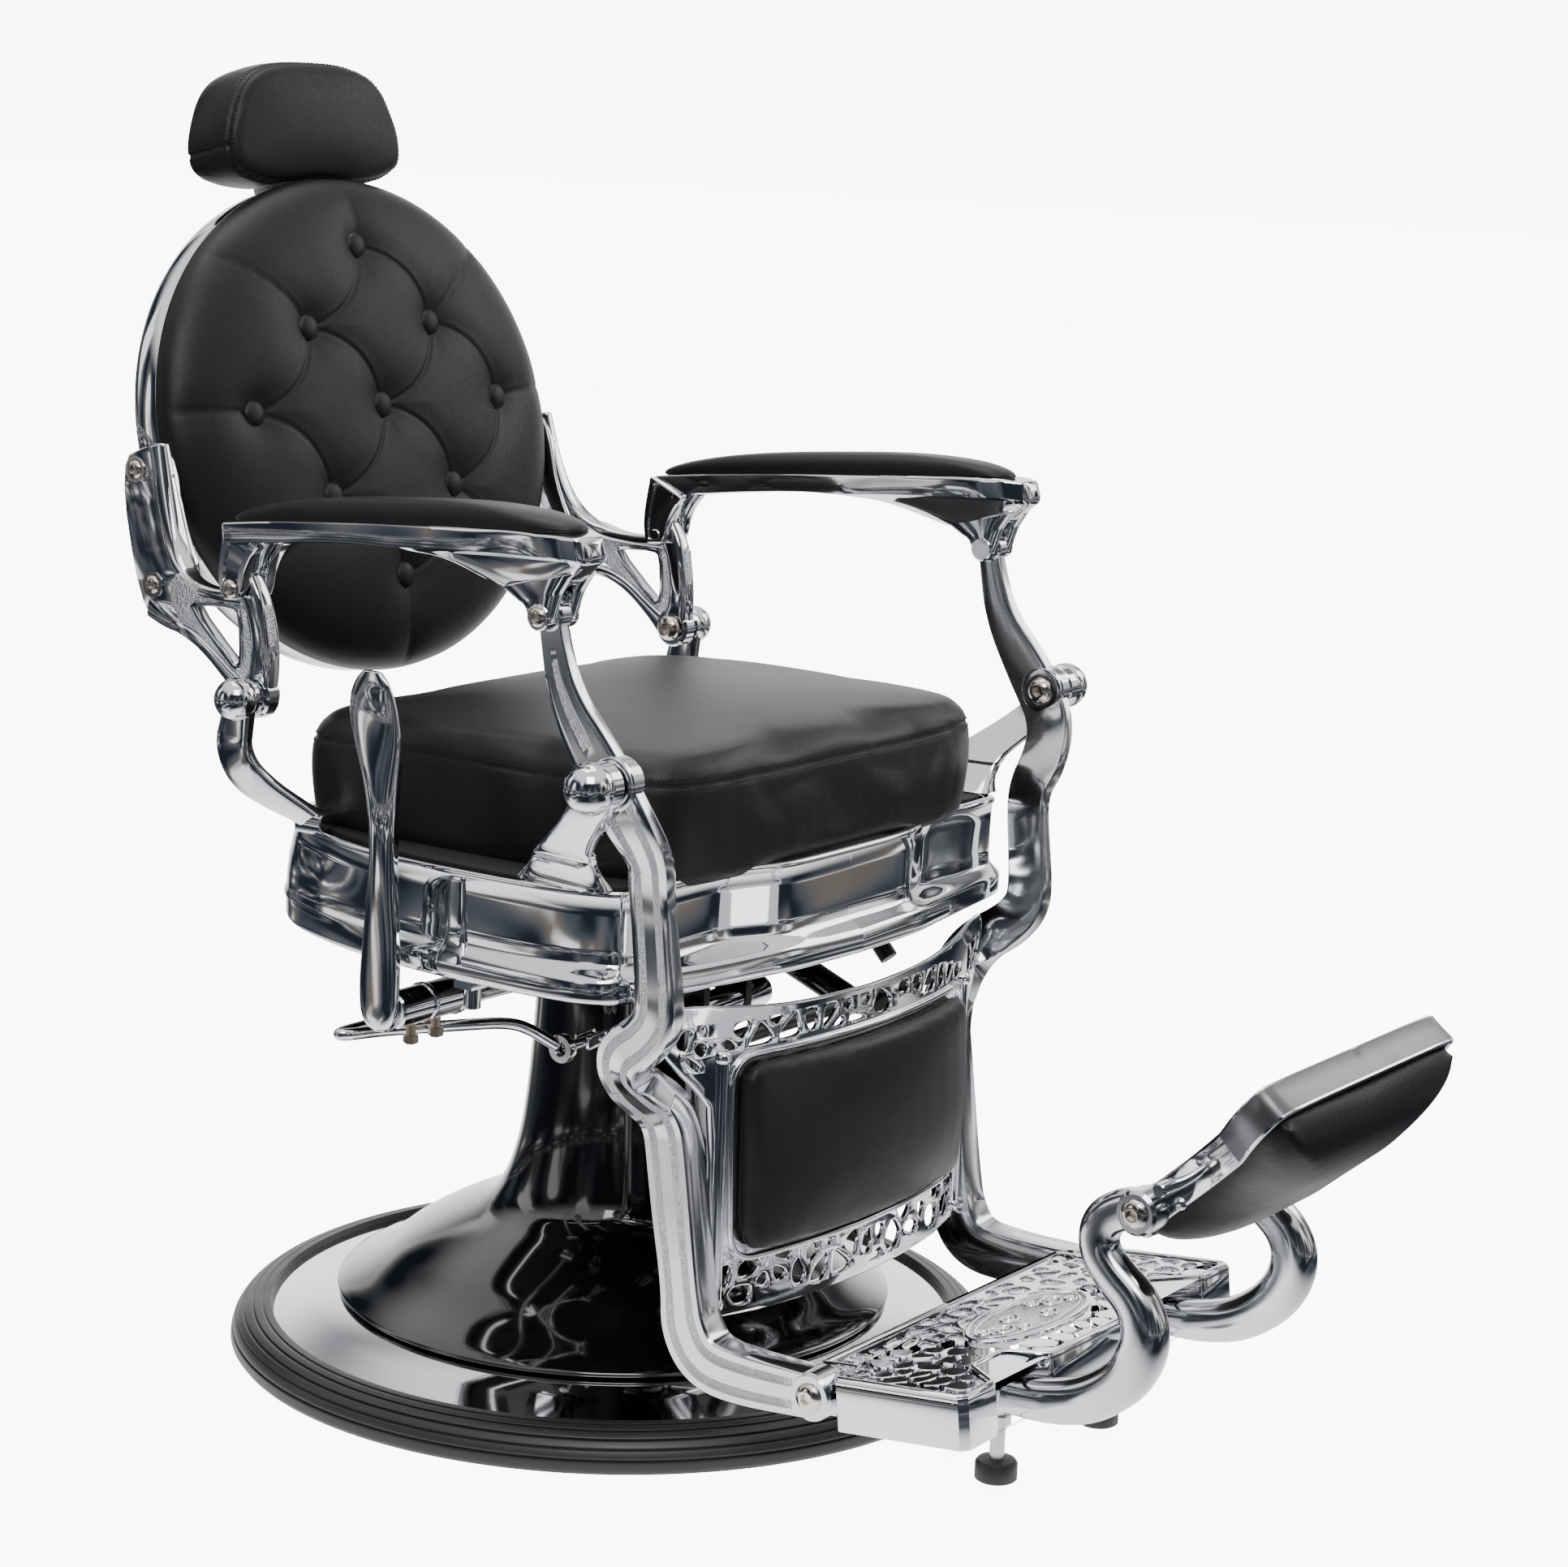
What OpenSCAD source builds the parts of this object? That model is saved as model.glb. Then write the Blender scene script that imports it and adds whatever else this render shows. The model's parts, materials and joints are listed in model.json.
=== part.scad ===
// Hydraulic barber chair with a linked recline.
// Millimetres. +Z is up, the origin is on the floor under the centre of the column.
// The chair faces -Y, so the sitter's right hand is on the -X side.
// Sub-parts that exist left and right are drawn on the +X side and mirrored.

/* [Base] */
// Outer radius of the rubber ring that stands on the floor
ring_r = 330; // [320:1:345]
// Height of the rubber ring
ring_h = 34; // [32:1:38]
// Radius of the black bell where it meets the chrome disc
bell_r = 236; // [228:1:242]
// Radius of the bell's neck at the top
neck_r = 73; // [70:1:78]
// Height of the bell's neck above the floor
neck_top = 328; // [318:1:332]

/* [Lift] */
// Radius of the polished lift ram
ram_r = 28; // [24:1:30]
// Radius of the piston on the ram's lower end
piston_r = 34; // [32:1:36]
// Radius of the spigot that the seat swivels on
spigot_r = 22; // [18:1:24]
// Radial running clearance of every turning or sliding fit
run_gap = 0.05; // [0.02:0.01:0.1]

/* [Seat] */
// Height of the top edge of the seat's cast frame
frame_top = 470; // [466:1:474]
// Height of the bottom edge of the seat's cast frame
frame_bottom = 383; // [378:1:386]
// Half the width of the seat cushion
cushion_half = 237; // [220:1:240]
// Height of the crown of the seat cushion
cushion_top = 576; // [565:1:590]

/* [Linkage] */
// Front pivot of the leg frame, Y and Z
front_pivot = [-223.8, 563.2];
// Rear pivot of the backrest, Y and Z
rear_pivot = [164, 576.2];
// Pin between leg bar and armrest, Y and Z
front_arm_pin = [-160.6, 681.9];
// Pin between backrest bracket and armrest, Y and Z
rear_arm_pin = [177.6, 662.6];
// Distance of the front arm pin's plane from the middle of the chair
front_plane = 306; // [304:1:308]
// Radius of the linkage pivot screws
pivot_r = 6; // [5:0.5:7]
// Radius of the armrest pins
arm_pin_r = 5; // [4:0.5:6]

/* [Back] */
// Tilt of the backrest from upright, in degrees
back_tilt = 12.4; // [8:0.2:16]
// Half the width of the backrest shell
shell_half_w = 240; // [232:1:244]
// Half the height of the backrest shell
shell_half_h = 220; // [212:1:224]

/* [Leg frame] */
// Half the distance between the outer faces of the lower leg bars
bar_outer = 209; // [206:1:212]
// Thickness of the lower leg bars
bar_t = 28; // [24:1:30]
// Footplate bolt in the end of the leg bar, Y and Z
foot_bolt = [-352, 88];
// Tilt of the footplate, in degrees
deck_tilt = 6.4; // [4:0.2:8]
// Hinge of the flip rest, Y and Z
flip_hinge = [-581, 265];
// Angle of the flip rest above the floor, in degrees
flip_angle = 49.4; // [40:0.2:55]
// Half the width of the flip rest along its free edge
flip_half = 145; // [138:1:148]

/* [Recline strut] */
// Rear hinge of the recline strut, Y and Z
strut_rear = [-20, 375];
// Front eye of the recline strut, Y and Z
strut_front = [-218, 300];
// Distance of the strut from the middle of the chair
strut_x = 86; // [84:1:88]

/* [Hidden] */
$fn = 64;

// ---------- points and outlines ----------

// A straight-line blend between a and b
function mix(a, b, t) = a + (b - a) * t;

// Corner cutting on an open path; the end points stay
function smooth(p, n) = n == 0 ? p : smooth(concat(
    [p[0]],
    [for (i = [0 : len(p) - 2]) each [mix(p[i], p[i + 1], 0.25), mix(p[i], p[i + 1], 0.75)]],
    [p[len(p) - 1]]), n - 1);

// Corner cutting on a closed outline
function rounded(p, n) = n == 0 ? p : rounded(
    [for (i = [0 : len(p) - 1]) let (q = p[(i + 1) % len(p)]) each [mix(p[i], q, 0.25), mix(p[i], q, 0.75)]],
    n - 1);

// Unit direction of a path at point i
function heading(p, i) = let (
    d = p[min(i + 1, len(p) - 1)] - p[max(i - 1, 0)], v = [d.x, d.y]) v / norm(v);

// Point at distance s to the left of path point i
function beside(p, i, s) = [p[i].x, p[i].y] + s * [-heading(p, i).y, heading(p, i).x];

// Closed band along a path of [a, b, half width] points
function band(p) = concat(
    [for (i = [0 : len(p) - 1]) beside(p, i, p[i].z)],
    [for (i = [len(p) - 1 : -1 : 0]) beside(p, i, -p[i].z)]);

// A half outline from front to rear at x > 0, completed on the other side
function both_sides(p) = concat(p, [for (i = [len(p) - 1 : -1 : 0]) [-p[i].x, p[i].y]]);

// Arc of points about a centre
function arc(c, r, a0, a1, n) = [for (i = [0 : n]) c + r * [cos(a0 + (a1 - a0) * i / n), sin(a0 + (a1 - a0) * i / n)]];

// Plate with a Y-Z outline between two X positions
module side_plate(x0, x1) {
    translate([x0, 0, 0]) rotate([90, 0, 90]) linear_extrude(x1 - x0) children();
}

// Plate with an X-Z outline between two Y positions
module front_plate(y0, y1) {
    translate([0, y1, 0]) rotate([90, 0, 0]) linear_extrude(y1 - y0) children();
}

// Rod along X at a Y-Z point
module x_rod(x0, x1, at, r) {
    translate([x0, at.x, at.y]) rotate([0, 90, 0]) cylinder(h = x1 - x0, r = r);
}

// Rod between two points in space
module rod(a, b, r) {
    d = b - a;
    translate(a) rotate([0, acos(d.z / norm(d)), atan2(d.y, d.x)]) cylinder(h = norm(d), r = r);
}

module mirrored() {
    mirror([1, 0, 0]) children();
}

module both() {
    children();
    mirrored() children();
}

// ---------- base and lift ----------

disc_edge_r = ring_r - 22;
plate_r = ring_r - 26;
cyl_outer_r = piston_r + 12;
piston_h = 24;
piston_z = 40;
gland_z = neck_top - 28;
ram_top = neck_top + 22;
spigot_top = ram_top + 44;

module rubber_ring() {
    grooves = [[ring_r - 2.2, 9], [ring_r - 3.4, 15], [ring_r - 7, 21], [ring_r - 13, 27]];
    color("#1b1b1c") rotate_extrude($fn = 128) difference() {
        polygon(concat(
            [[plate_r + 0.3, 0], [ring_r - 5, 0], [ring_r, 5], [ring_r - 1, 14], [ring_r - 5, 23],
             [ring_r - 13, 31], [ring_r - 24, ring_h], [ring_r - 33, ring_h - 1.5], [ring_r - 34, 28.5]],
            [[disc_edge_r + 0.5, 28.5], [disc_edge_r + 0.5, 21.5], [plate_r + 0.3, 21.5]]));
        for (g = grooves) translate(g) rotate(45) square(2.6, center = true);
    }
}

module base_disc() {
    t = 3.6;
    color("#d5d7da") rotate_extrude($fn = 128) polygon([
        [disc_edge_r, 22], [disc_edge_r, 22 + t], [ring_r - 34, 22 + t + 1.5], [bell_r + 6, 44],
        [bell_r - 14, 46], [96, 46], [96, 46 - t], [bell_r - 12, 46 - t], [bell_r + 5, 40], [ring_r - 34, 22.8]]);
}

module base_plate() {
    color("#2a2a2c") difference() {
        cylinder(h = 14, r = plate_r, $fn = 128);
        for (a = [0 : 60 : 300]) rotate(a + 30) translate([76, 0, 4]) cylinder(h = 20, r = 5);
    }
}

module pump_cylinder() {
    color("#3a3a3d") difference() {
        union() {
            translate([0, 0, 14.2]) cylinder(h = 12, r = 90);
            translate([0, 0, 14.2]) cylinder(h = gland_z - 14.4, r = cyl_outer_r);
        }
        translate([0, 0, 30]) cylinder(h = gland_z, r = piston_r + run_gap);
        for (a = [0 : 60 : 300]) rotate(a + 30) translate([76, 0, 0]) cylinder(h = 40, r = 5);
    }
}

module pump_bolts() {
    color("#77787a") for (a = [0 : 60 : 300]) rotate(a + 30) translate([76, 0, 0]) {
        translate([0, 0, 5]) cylinder(h = 21.5, r = 4.8);
        translate([0, 0, 26.4]) cylinder(h = 6, r = 8, $fn = 6);
    }
}

module gland_nut() {
    color("#8b8d90") difference() {
        union() {
            translate([0, 0, gland_z]) cylinder(h = 20, r = cyl_outer_r);
            translate([0, 0, gland_z - 18]) cylinder(h = 18.5, r = piston_r - 0.3);
        }
        translate([0, 0, gland_z - 20]) cylinder(h = 60, r = ram_r + run_gap);
    }
}

// Outer profile of the bell from its rim to its neck, radius and height
bell_line = smooth([
    [bell_r, 50], [229, 57], [bell_r - 34, 71.5], [176, 93], [138, 113], [108, 126], [97, 142], [91, 158],
    [84, 185], [79, 225], [neck_r + 2, 270], [neck_r, neck_top - 22], [neck_r, neck_top]], 2);
bell_wall = 4.5;

module bell_cover() {
    color("#0b0b0c") rotate_extrude($fn = 128) polygon(concat(
        [[bell_r - 9, 46.3], [bell_r + 3, 46.3], [bell_r + 3, 49.5]],
        bell_line,
        [[ram_r + 6, neck_top], [ram_r + 6, neck_top - 4]],
        [for (i = [len(bell_line) - 2 : -1 : 1]) bell_line[i] - [bell_wall, bell_wall * 0.9]]));
}

module lift_ram() {
    color("#c9cbce") rotate_extrude($fn = 64) polygon([
        [0, piston_z], [piston_r - 1, piston_z], [piston_r, piston_z + 1], [piston_r, piston_z + piston_h],
        [ram_r, piston_z + piston_h], [ram_r, ram_top], [spigot_r, ram_top], [spigot_r, spigot_top], [0, spigot_top]]);
}

module thrust_bearing() {
    color("#9a9b9d") difference() {
        translate([0, 0, ram_top + 0.1]) cylinder(h = 6, r = 36);
        translate([0, 0, ram_top - 1]) cylinder(h = 10, r = spigot_r + 0.2);
    }
}

// ---------- seat ----------

hub_bottom = ram_top + 6.3;
sub_z = 404;
wall_t = 9;
strut_pin_r = 5;

// Plan outline of the seat frame at its top edge, right half from front to rear
frame_half = [
    [0, -230], [70, -229.5], [96, -226], [120, -216], [142, -207.5], [166, -204.5], [258, -204], [270, -196],
    [284, -160], [290, -100],
    [290, -10], [283, 40], [266, 104], [240, 158], [200, 190], [150, 204], [0, 208]];
// The same outline at the flared bottom lip
lip_half = [
    [0, -246], [70, -243], [100, -240], [130, -234], [160, -229], [200, -222], [262, -212], [284, -199],
    [298, -160], [299, -60],
    [296, 0], [290, 42], [274, 104], [246, 164], [206, 198], [150, 212], [0, 216]];
frame_outline = rounded(both_sides(frame_half), 2);
lip_outline = rounded(both_sides(lip_half), 2);

module swivel_hub() {
    color("#2c2c2e") difference() {
        union() {
            translate([0, 0, hub_bottom]) cylinder(h = sub_z - hub_bottom - 0.2, r = 44);
            translate([0, 0, sub_z - 12]) cylinder(h = 11.8, r = 62);
        }
        translate([0, 0, hub_bottom - 1]) cylinder(h = 60, r = spigot_r + run_gap);
    }
}

module seat_subframe() {
    color("#1f1f21") {
        translate([-200, -150, sub_z]) cube([400, 290, 8]);
        for (y = [-150, 60]) translate([-256, y, sub_z]) cube([512, 40, 8]);
        for (x = [-60, 52]) translate([x, -168, sub_z + 7.5]) cube([8, 330, 32]);
        for (s = [-1, 1]) translate([strut_x + s * 18 - 3, strut_rear.x - 16, strut_rear.y - 12])
            cube([6, 32, sub_z - strut_rear.y + 13]);
        x_rod(strut_x - 20, strut_x + 20, strut_rear, strut_pin_r);
    }
}

module seat_frame() {
    color("#d9dbde") {
        difference() {
            union() {
                translate([0, 0, frame_bottom + 15]) linear_extrude(frame_top - frame_bottom - 15)
                    polygon(frame_outline);
                hull() {
                    translate([0, 0, frame_bottom]) linear_extrude(10) polygon(lip_outline);
                    translate([0, 0, frame_bottom + 15]) linear_extrude(6) polygon(frame_outline);
                }
            }
            translate([0, 0, frame_bottom - 1]) linear_extrude(frame_top)
                offset(delta = -wall_t) polygon(frame_outline);
        }
        difference() {
            for (s = [-1, 1]) translate([s * 264 - 14, -150, sub_z - 12]) cube([28, 300, 11.7]);
            translate([0, 0, frame_bottom - 1]) linear_extrude(frame_top) difference() {
                square(900, center = true);
                polygon(frame_outline);
            }
        }
    }
}

board_t = 14;

module seat_board() {
    color("#8a6a43") translate([0, 0, frame_top - board_t]) linear_extrude(board_t)
        offset(delta = -wall_t - 3) polygon(frame_outline);
}

// Plan outline of the cushion at its widest, right half from front to rear
cushion_plan = rounded(both_sides([
    [0, -222], [120, -221], [cushion_half - 40, -214], [cushion_half - 10, -188], [cushion_half - 2, -130],
    [cushion_half + 1, -20], [cushion_half + 1, 90], [cushion_half - 1, 146], [cushion_half - 24, 170], [150, 176],
    [0, 178]]), 2);

module seat_cushion() {
    seam_z = 546;
    color("#161617") hull() {
        translate([0, 0, frame_top + 0.4]) linear_extrude(2) scale([0.955, 0.95]) polygon(cushion_plan);
        translate([0, 0, seam_z - 26]) linear_extrude(22) polygon(cushion_plan);
        translate([0, 0, seam_z + 18]) linear_extrude(2) scale([0.93, 0.92]) polygon(cushion_plan);
        translate([0, 0, cushion_top - 3]) linear_extrude(2) scale([0.66, 0.66]) polygon(cushion_plan);
    }
}

// ---------- linkage supports on the seat ----------

ball_front_x = 338;
ball_r = 20;
ball_rear_x = 303;
ball_rear_r = 18;

module front_bracket() {
    color("#d9dbde") difference() {
        union() {
            hull() {
                translate([256, -192, frame_top + 0.2]) cube([28, 76, 5]);
                translate([300, -206, frame_top + 32]) cube([10, 62, 2]);
            }
            hull() {
                translate([300, -206, frame_top + 32]) cube([10, 62, 2]);
                translate([318, -228, frame_top + 58]) cube([10, 52, 2]);
            }
            hull() {
                translate([318, -228, frame_top + 58]) cube([10, 52, 2]);
                x_rod(318, 330, front_pivot, ball_r, $fn = 32);
            }
            translate([ball_front_x, front_pivot.x, front_pivot.y]) sphere(r = ball_r, $fn = 48);
        }
        x_rod(310, 346, front_pivot, pivot_r + run_gap);
    }
}

module front_bracket_left() { front_bracket(); }
module front_bracket_right() { mirrored() front_bracket(); }

module rear_arm() {
    side_path = smooth([
        [164, 576, 14], [170, 556, 14], [173, 530, 17], [160, 508, 19], [136, 492, 19], [122, 471, 19]], 2);
    front_path = smooth([
        [298, 592, 7], [298, 545, 7], [297, 520, 6], [284, 502, 7], [258, 484, 8], [250, 470.2, 12]], 2);
    color("#d9dbde") difference() {
        union() {
            intersection() {
                side_plate(220, 330) polygon(band(side_path));
                front_plate(60, 230) polygon(band(front_path));
                translate([200, 0, frame_top + 0.15]) cube([150, 300, 200]);
            }
            x_rod(291.2, 305, rear_pivot, 15);
            translate([ball_rear_x + 2, rear_pivot.x, rear_pivot.y]) intersection() {
                sphere(r = ball_rear_r, $fn = 48);
                translate([-12, -40, -40]) cube(80);
            }
            translate([236, 104, frame_top + 0.2]) cube([28, 42, 6]);
        }
        x_rod(280, 312, rear_pivot, pivot_r + run_gap);
    }
}

module rear_arm_left() { rear_arm(); }
module rear_arm_right() { mirrored() rear_arm(); }

module pivot_screws() {
    color("#cfcac0") both() {
        x_rod(292, 345, front_pivot, pivot_r);
        x_rod(290.5, 297.6, front_pivot, 11);
        x_rod(262, 311, rear_pivot, pivot_r);
        x_rod(262, 269.5, rear_pivot, 11);
    }
}

// ---------- pump lever ----------

shaft_at = [-12, 352];
shaft_r = 11;
lever_x = -318;

module lever_bearing() {
    color("#222224") difference() {
        union() {
            translate([-132, shaft_at.x - 20, shaft_at.y - 18]) cube([42, 40, sub_z - shaft_at.y + 17.8]);
            x_rod(-132, -90, shaft_at, 20);
        }
        x_rod(-150, -80, shaft_at, shaft_r + run_gap);
    }
}

module pump_shaft() {
    color("#c9cbce") union() {
        x_rod(-306, -80, shaft_at, shaft_r);
        x_rod(-300, -236, shaft_at, 15);
        x_rod(-79.8, -74, shaft_at, 17);
    }
}

module pump_lever() {
    grip = smooth([
        [-8, 337, 12], [-5, 350, 18], [-6, 380, 18], [-8, 440, 13], [-9, 490, 11], [-5, 540, 16],
        [3, 580, 23], [8, 605, 20], [8, 622, 9]], 2);
    thickness = smooth([
        [lever_x + 2, 336, 9], [lever_x, 360, 10], [lever_x - 2, 430, 12], [lever_x, 500, 11], [lever_x + 2, 560, 8],
        [lever_x + 1, 600, 6], [lever_x, 626, 5]], 2);
    color("#d9dbde") difference() {
        intersection() {
            side_plate(-345, -290) polygon(band(grip));
            front_plate(-60, 60) polygon(band(thickness));
        }
        x_rod(-320, -290, shaft_at, shaft_r + 0.1);
    }
}

module set_screws() {
    color("#b08d57") for (x = [-288, -258]) translate([x, shaft_at.x, shaft_at.y]) {
        translate([0, 0, -24]) cylinder(h = 8.8, r = 4);
        translate([0, 0, -30]) cylinder(h = 6, r = 6, $fn = 6);
    }
}

module stop_screw() {
    color("#b9bbbe") translate([-278, -66, 0]) {
        translate([0, 0, 358]) cylinder(h = 20, r = 7);
        translate([-12, -9, 375]) cube([24, 18, frame_bottom - 375.2]);
    }
}

// ---------- recline lever, strut and stop ----------

trigger_at = [-82, 36, 324];
trigger_pin_r = 5;

module recline_lever() {
    rear_leg = [[-70, 36, 5], [-240, 43, 5], [-309, 48, 5.5]];
    front_leg = smooth([[-309, 47, 5], [-296, 38, 5], [-270, 28, 5], [-178, -34, 5], [-156, -62, 6]], 2);
    drop = smooth([[-320, 324, 5], [-190, 323, 5], [-168, 306, 5], [-140, 300, 6]], 2);
    color("#d3d5d8") difference() {
        union() {
            translate([0, 0, trigger_at.z - 5]) linear_extrude(10) polygon(band(rear_leg));
            intersection() {
                translate([0, 0, 280]) linear_extrude(60) polygon(band(front_leg));
                front_plate(-90, 60) polygon(band(drop));
            }
            x_rod(-162, -112, [-62, 300], 6);
            translate(trigger_at + [0, 13, 0]) rotate([90, 0, 0]) cylinder(h = 26, r = 11);
        }
        translate(trigger_at + [0, 20, 0]) rotate([90, 0, 0]) cylinder(h = 40, r = trigger_pin_r + run_gap);
    }
}

module cross_tube() {
    color("#c9cbce") difference() {
        x_rod(-66, 66, tube_at, 13);
        x_rod(-70, 70, tube_at, 8);
    }
}

tube_at = [-98, 314];

// Hangers of the cross tube and the fork that carries the recline lever on its pin
module under_brackets() {
    color("#222224") {
        for (x = [-34, 26]) difference() {
            translate([x, tube_at.x - 14, tube_at.y - 14]) cube([8, 34, sub_z - tube_at.y + 13.8]);
            x_rod(-70, 70, tube_at, 13.05);
        }
        for (y = [11, 54]) translate([trigger_at.x - 8, y, trigger_at.z - 6]) cube([16, 8, sub_z - trigger_at.z + 5.8]);
        translate([trigger_at.x, 60, trigger_at.z]) rotate([90, 0, 0]) cylinder(h = 46, r = trigger_pin_r);
    }
}

stop_x = 111;

module leg_stop() {
    color("#111112") {
        rod([stop_x, -157.6, 396], [stop_x, -199, 351], 8);
        translate([stop_x - 14, -164, sub_z - 8]) cube([28, 28, 7.8]);
    }
}

strut_line = strut_front - strut_rear;
strut_len = norm(strut_line);
strut_tilt = atan2(strut_line.y, strut_line.x);

// Places children along the strut: X along the strut from the rear hinge
module on_strut() {
    translate([strut_x, strut_rear.x, strut_rear.y]) rotate([strut_tilt, 0, 0]) rotate([0, 0, 90]) children();
}

strut_eye = 13;

module strut_cylinder() {
    color("#111112") difference() {
        on_strut() union() {
            rotate([0, 90, 0]) translate([0, 0, 8]) cylinder(h = strut_len - 48, r = strut_eye - 1);
            rotate([90, 0, 0]) cylinder(h = 28, r = strut_eye, center = true);
        }
        on_strut() rotate([0, 90, 0]) translate([0, 0, 18]) cylinder(h = strut_len, r = 5 + run_gap);
        x_rod(strut_x - 20, strut_x + 20, strut_rear, strut_pin_r + run_gap);
    }
}

module strut_rod() {
    color("#c9cbce") difference() {
        on_strut() union() {
            rotate([0, 90, 0]) translate([0, 0, 22]) cylinder(h = strut_len - 32, r = 5);
            translate([strut_len, 0, 0]) rotate([90, 0, 0]) cylinder(h = 12, r = 16, center = true);
        }
        x_rod(strut_x - 20, strut_x + 20, strut_front, 10.5);
    }
}

// ---------- backrest ----------

back_mid = [295, 785];
mid_up = -14;
shell_depth = 40;

// Local frame of the backrest: X across, Y into the back, Z along the slope
module on_back() {
    translate([0, back_mid.x, back_mid.y]) rotate([-back_tilt, 0, 0]) translate([0, 0, mid_up]) children();
}

// Closed oval of half width a and half height b
function oval(a, b, n) = [for (i = [0 : n - 1]) [a * cos(360 * i / n), b * sin(360 * i / n)]];

module oval_slab(y0, y1, a, b) {
    translate([0, y1, 0]) rotate([90, 0, 0]) linear_extrude(y1 - y0) polygon(oval(a, b, 48));
}

module back_shell() {
    color("#d9dbde") on_back() difference() {
        hull() {
            oval_slab(14, 34, shell_half_w, shell_half_h);
            oval_slab(14 + shell_depth, 16 + shell_depth, shell_half_w - 16, shell_half_h - 16);
        }
        oval_slab(0, 10 + shell_depth, shell_half_w - 6, shell_half_h - 6);
    }
}

module back_pad() {
    color("#161617") on_back() difference() {
        hull() {
            oval_slab(10, 44, shell_half_w - 8, shell_half_h - 8);
            oval_slab(-12, 0, shell_half_w - 22, shell_half_h - 22);
            oval_slab(-28, -26, shell_half_w - 80, shell_half_h - 80);
        }
        for (p = button_places) translate([p.x, -20, p.y]) rotate([90, 0, 0]) cylinder(h = 60, r = 11, center = true);
    }
}

// Diamond rows of buttons: count in the row and its height on the slope
button_rows = [[1, 140], [2, 70], [3, 0], [2, -75], [1, -150]];
button_pitch = 158;
button_places = [for (row = button_rows) for (i = [0 : row[0] - 1])
    [(i - (row[0] - 1) / 2) * button_pitch, row[1] - mid_up]];

module back_buttons() {
    color("#161617") on_back() for (p = button_places) translate([p.x, 9, p.y]) rotate([90, 0, 0]) {
        cylinder(h = 12, r = 10.5);
        translate([0, 0, 12]) scale([1, 1, 0.5]) sphere(r = 10.4, $fn = 24);
    }
}

module back_bracket() {
    plate_outline = rounded([[352, 748], [318, 764], [296, 764], [282, 700], [258, 655], [300, 618], [326, 628]], 1);
    window = rounded([[226, 636], [182, 641], [182, 604]], 1);
    color("#d9dbde") difference() {
        union() {
            side_plate(241, 252) polygon(plate_outline);
            intersection() {
                front_plate(150, 330) polygon(band(smooth([
                    [246, 770, 6], [248, 680, 6], [262, 655, 9], [278, 640, 9], [279, 560, 9]], 2)));
                side_plate(236, 292) polygon([
                    [318, 764], [296, 764], [276, 672], [238, 657], [148, 652], [148, 590], [187, 584], [240, 622],
                    [300, 618]]);
            }
            side_plate(271.5, 286.5) difference() {
                union() {
                    polygon([[242, 657], [148, 652], [148, 600], [148, 576], [187, 584], [242, 624]]);
                    translate(rear_pivot) circle(r = 17);
                    translate(rear_arm_pin) circle(r = 13);
                }
                polygon(window);
            }
        }
        x_rod(255, 300, rear_pivot, pivot_r + run_gap);
        x_rod(255, 300, rear_arm_pin, arm_pin_r + run_gap);
        side_plate(250, 271.5) polygon(arc(rear_pivot, 24, 0, 345, 23));
        side_plate(286.5, 310) polygon(arc(rear_pivot, 24, 0, 345, 23));
        side_plate(287.5, 310) polygon(arc(rear_arm_pin, 20, 0, 345, 23));
        side_plate(250, 270) polygon(arc(rear_arm_pin, 20, 0, 345, 23));
        side_plate(255, 300) polygon(window);
        for (p = bracket_holes) {
            x_rod(230, 260, p, 4.1);
            x_rod(252.05, 262, p, 8.3);
        }
    }
}

bracket_holes = [[331, 742], [310, 648]];

module back_bracket_left() { back_bracket(); }
module back_bracket_right() { mirrored() back_bracket(); }

module bracket_screws() {
    color("#cfcac0") both() for (p = bracket_holes) {
        x_rod(242, 252.5, p, 4);
        x_rod(252.2, 256, p, 8);
    }
}

guide_z = 176;

// How far the headrest stands behind the face of the backrest
headrest_back = 35;

module headrest_guide() {
    color("#2c2c2e") on_back() difference() {
        translate([-30, 57, guide_z - 20]) cube([60, 14, 52]);
        translate([-16.05, 60, guide_z - 40]) cube([32.1, 7.1, 120]);
    }
}

module headrest_post() {
    color("#c9cbce") on_back() union() {
        translate([-16, 60.05, guide_z - 60]) cube([32, 7, 105.2]);
        translate([-26, 59, guide_z + 36]) cube([52, 20, 9.2]);
    }
}

module headrest_pad() {
    profile = rounded([
        [-102, -46], [-62, -55], [0, -52], [62, -55], [102, -46], [109, -22], [90, 30], [52, 46], [0, 48],
        [-52, 46], [-90, 30], [-109, -22]], 2);
    color("#161617") on_back() difference() {
        translate([0, headrest_back, 273]) hull() {
            translate([0, 6, 0]) rotate([90, 0, 0]) linear_extrude(28) polygon(profile);
            translate([0, 48, 0]) rotate([90, 0, 0]) linear_extrude(10) scale([0.9, 0.88]) polygon(profile);
        }
        oval_slab(-40, 60, shell_half_w + 1, shell_half_h + 1);
    }
}

// ---------- armrests ----------

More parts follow.
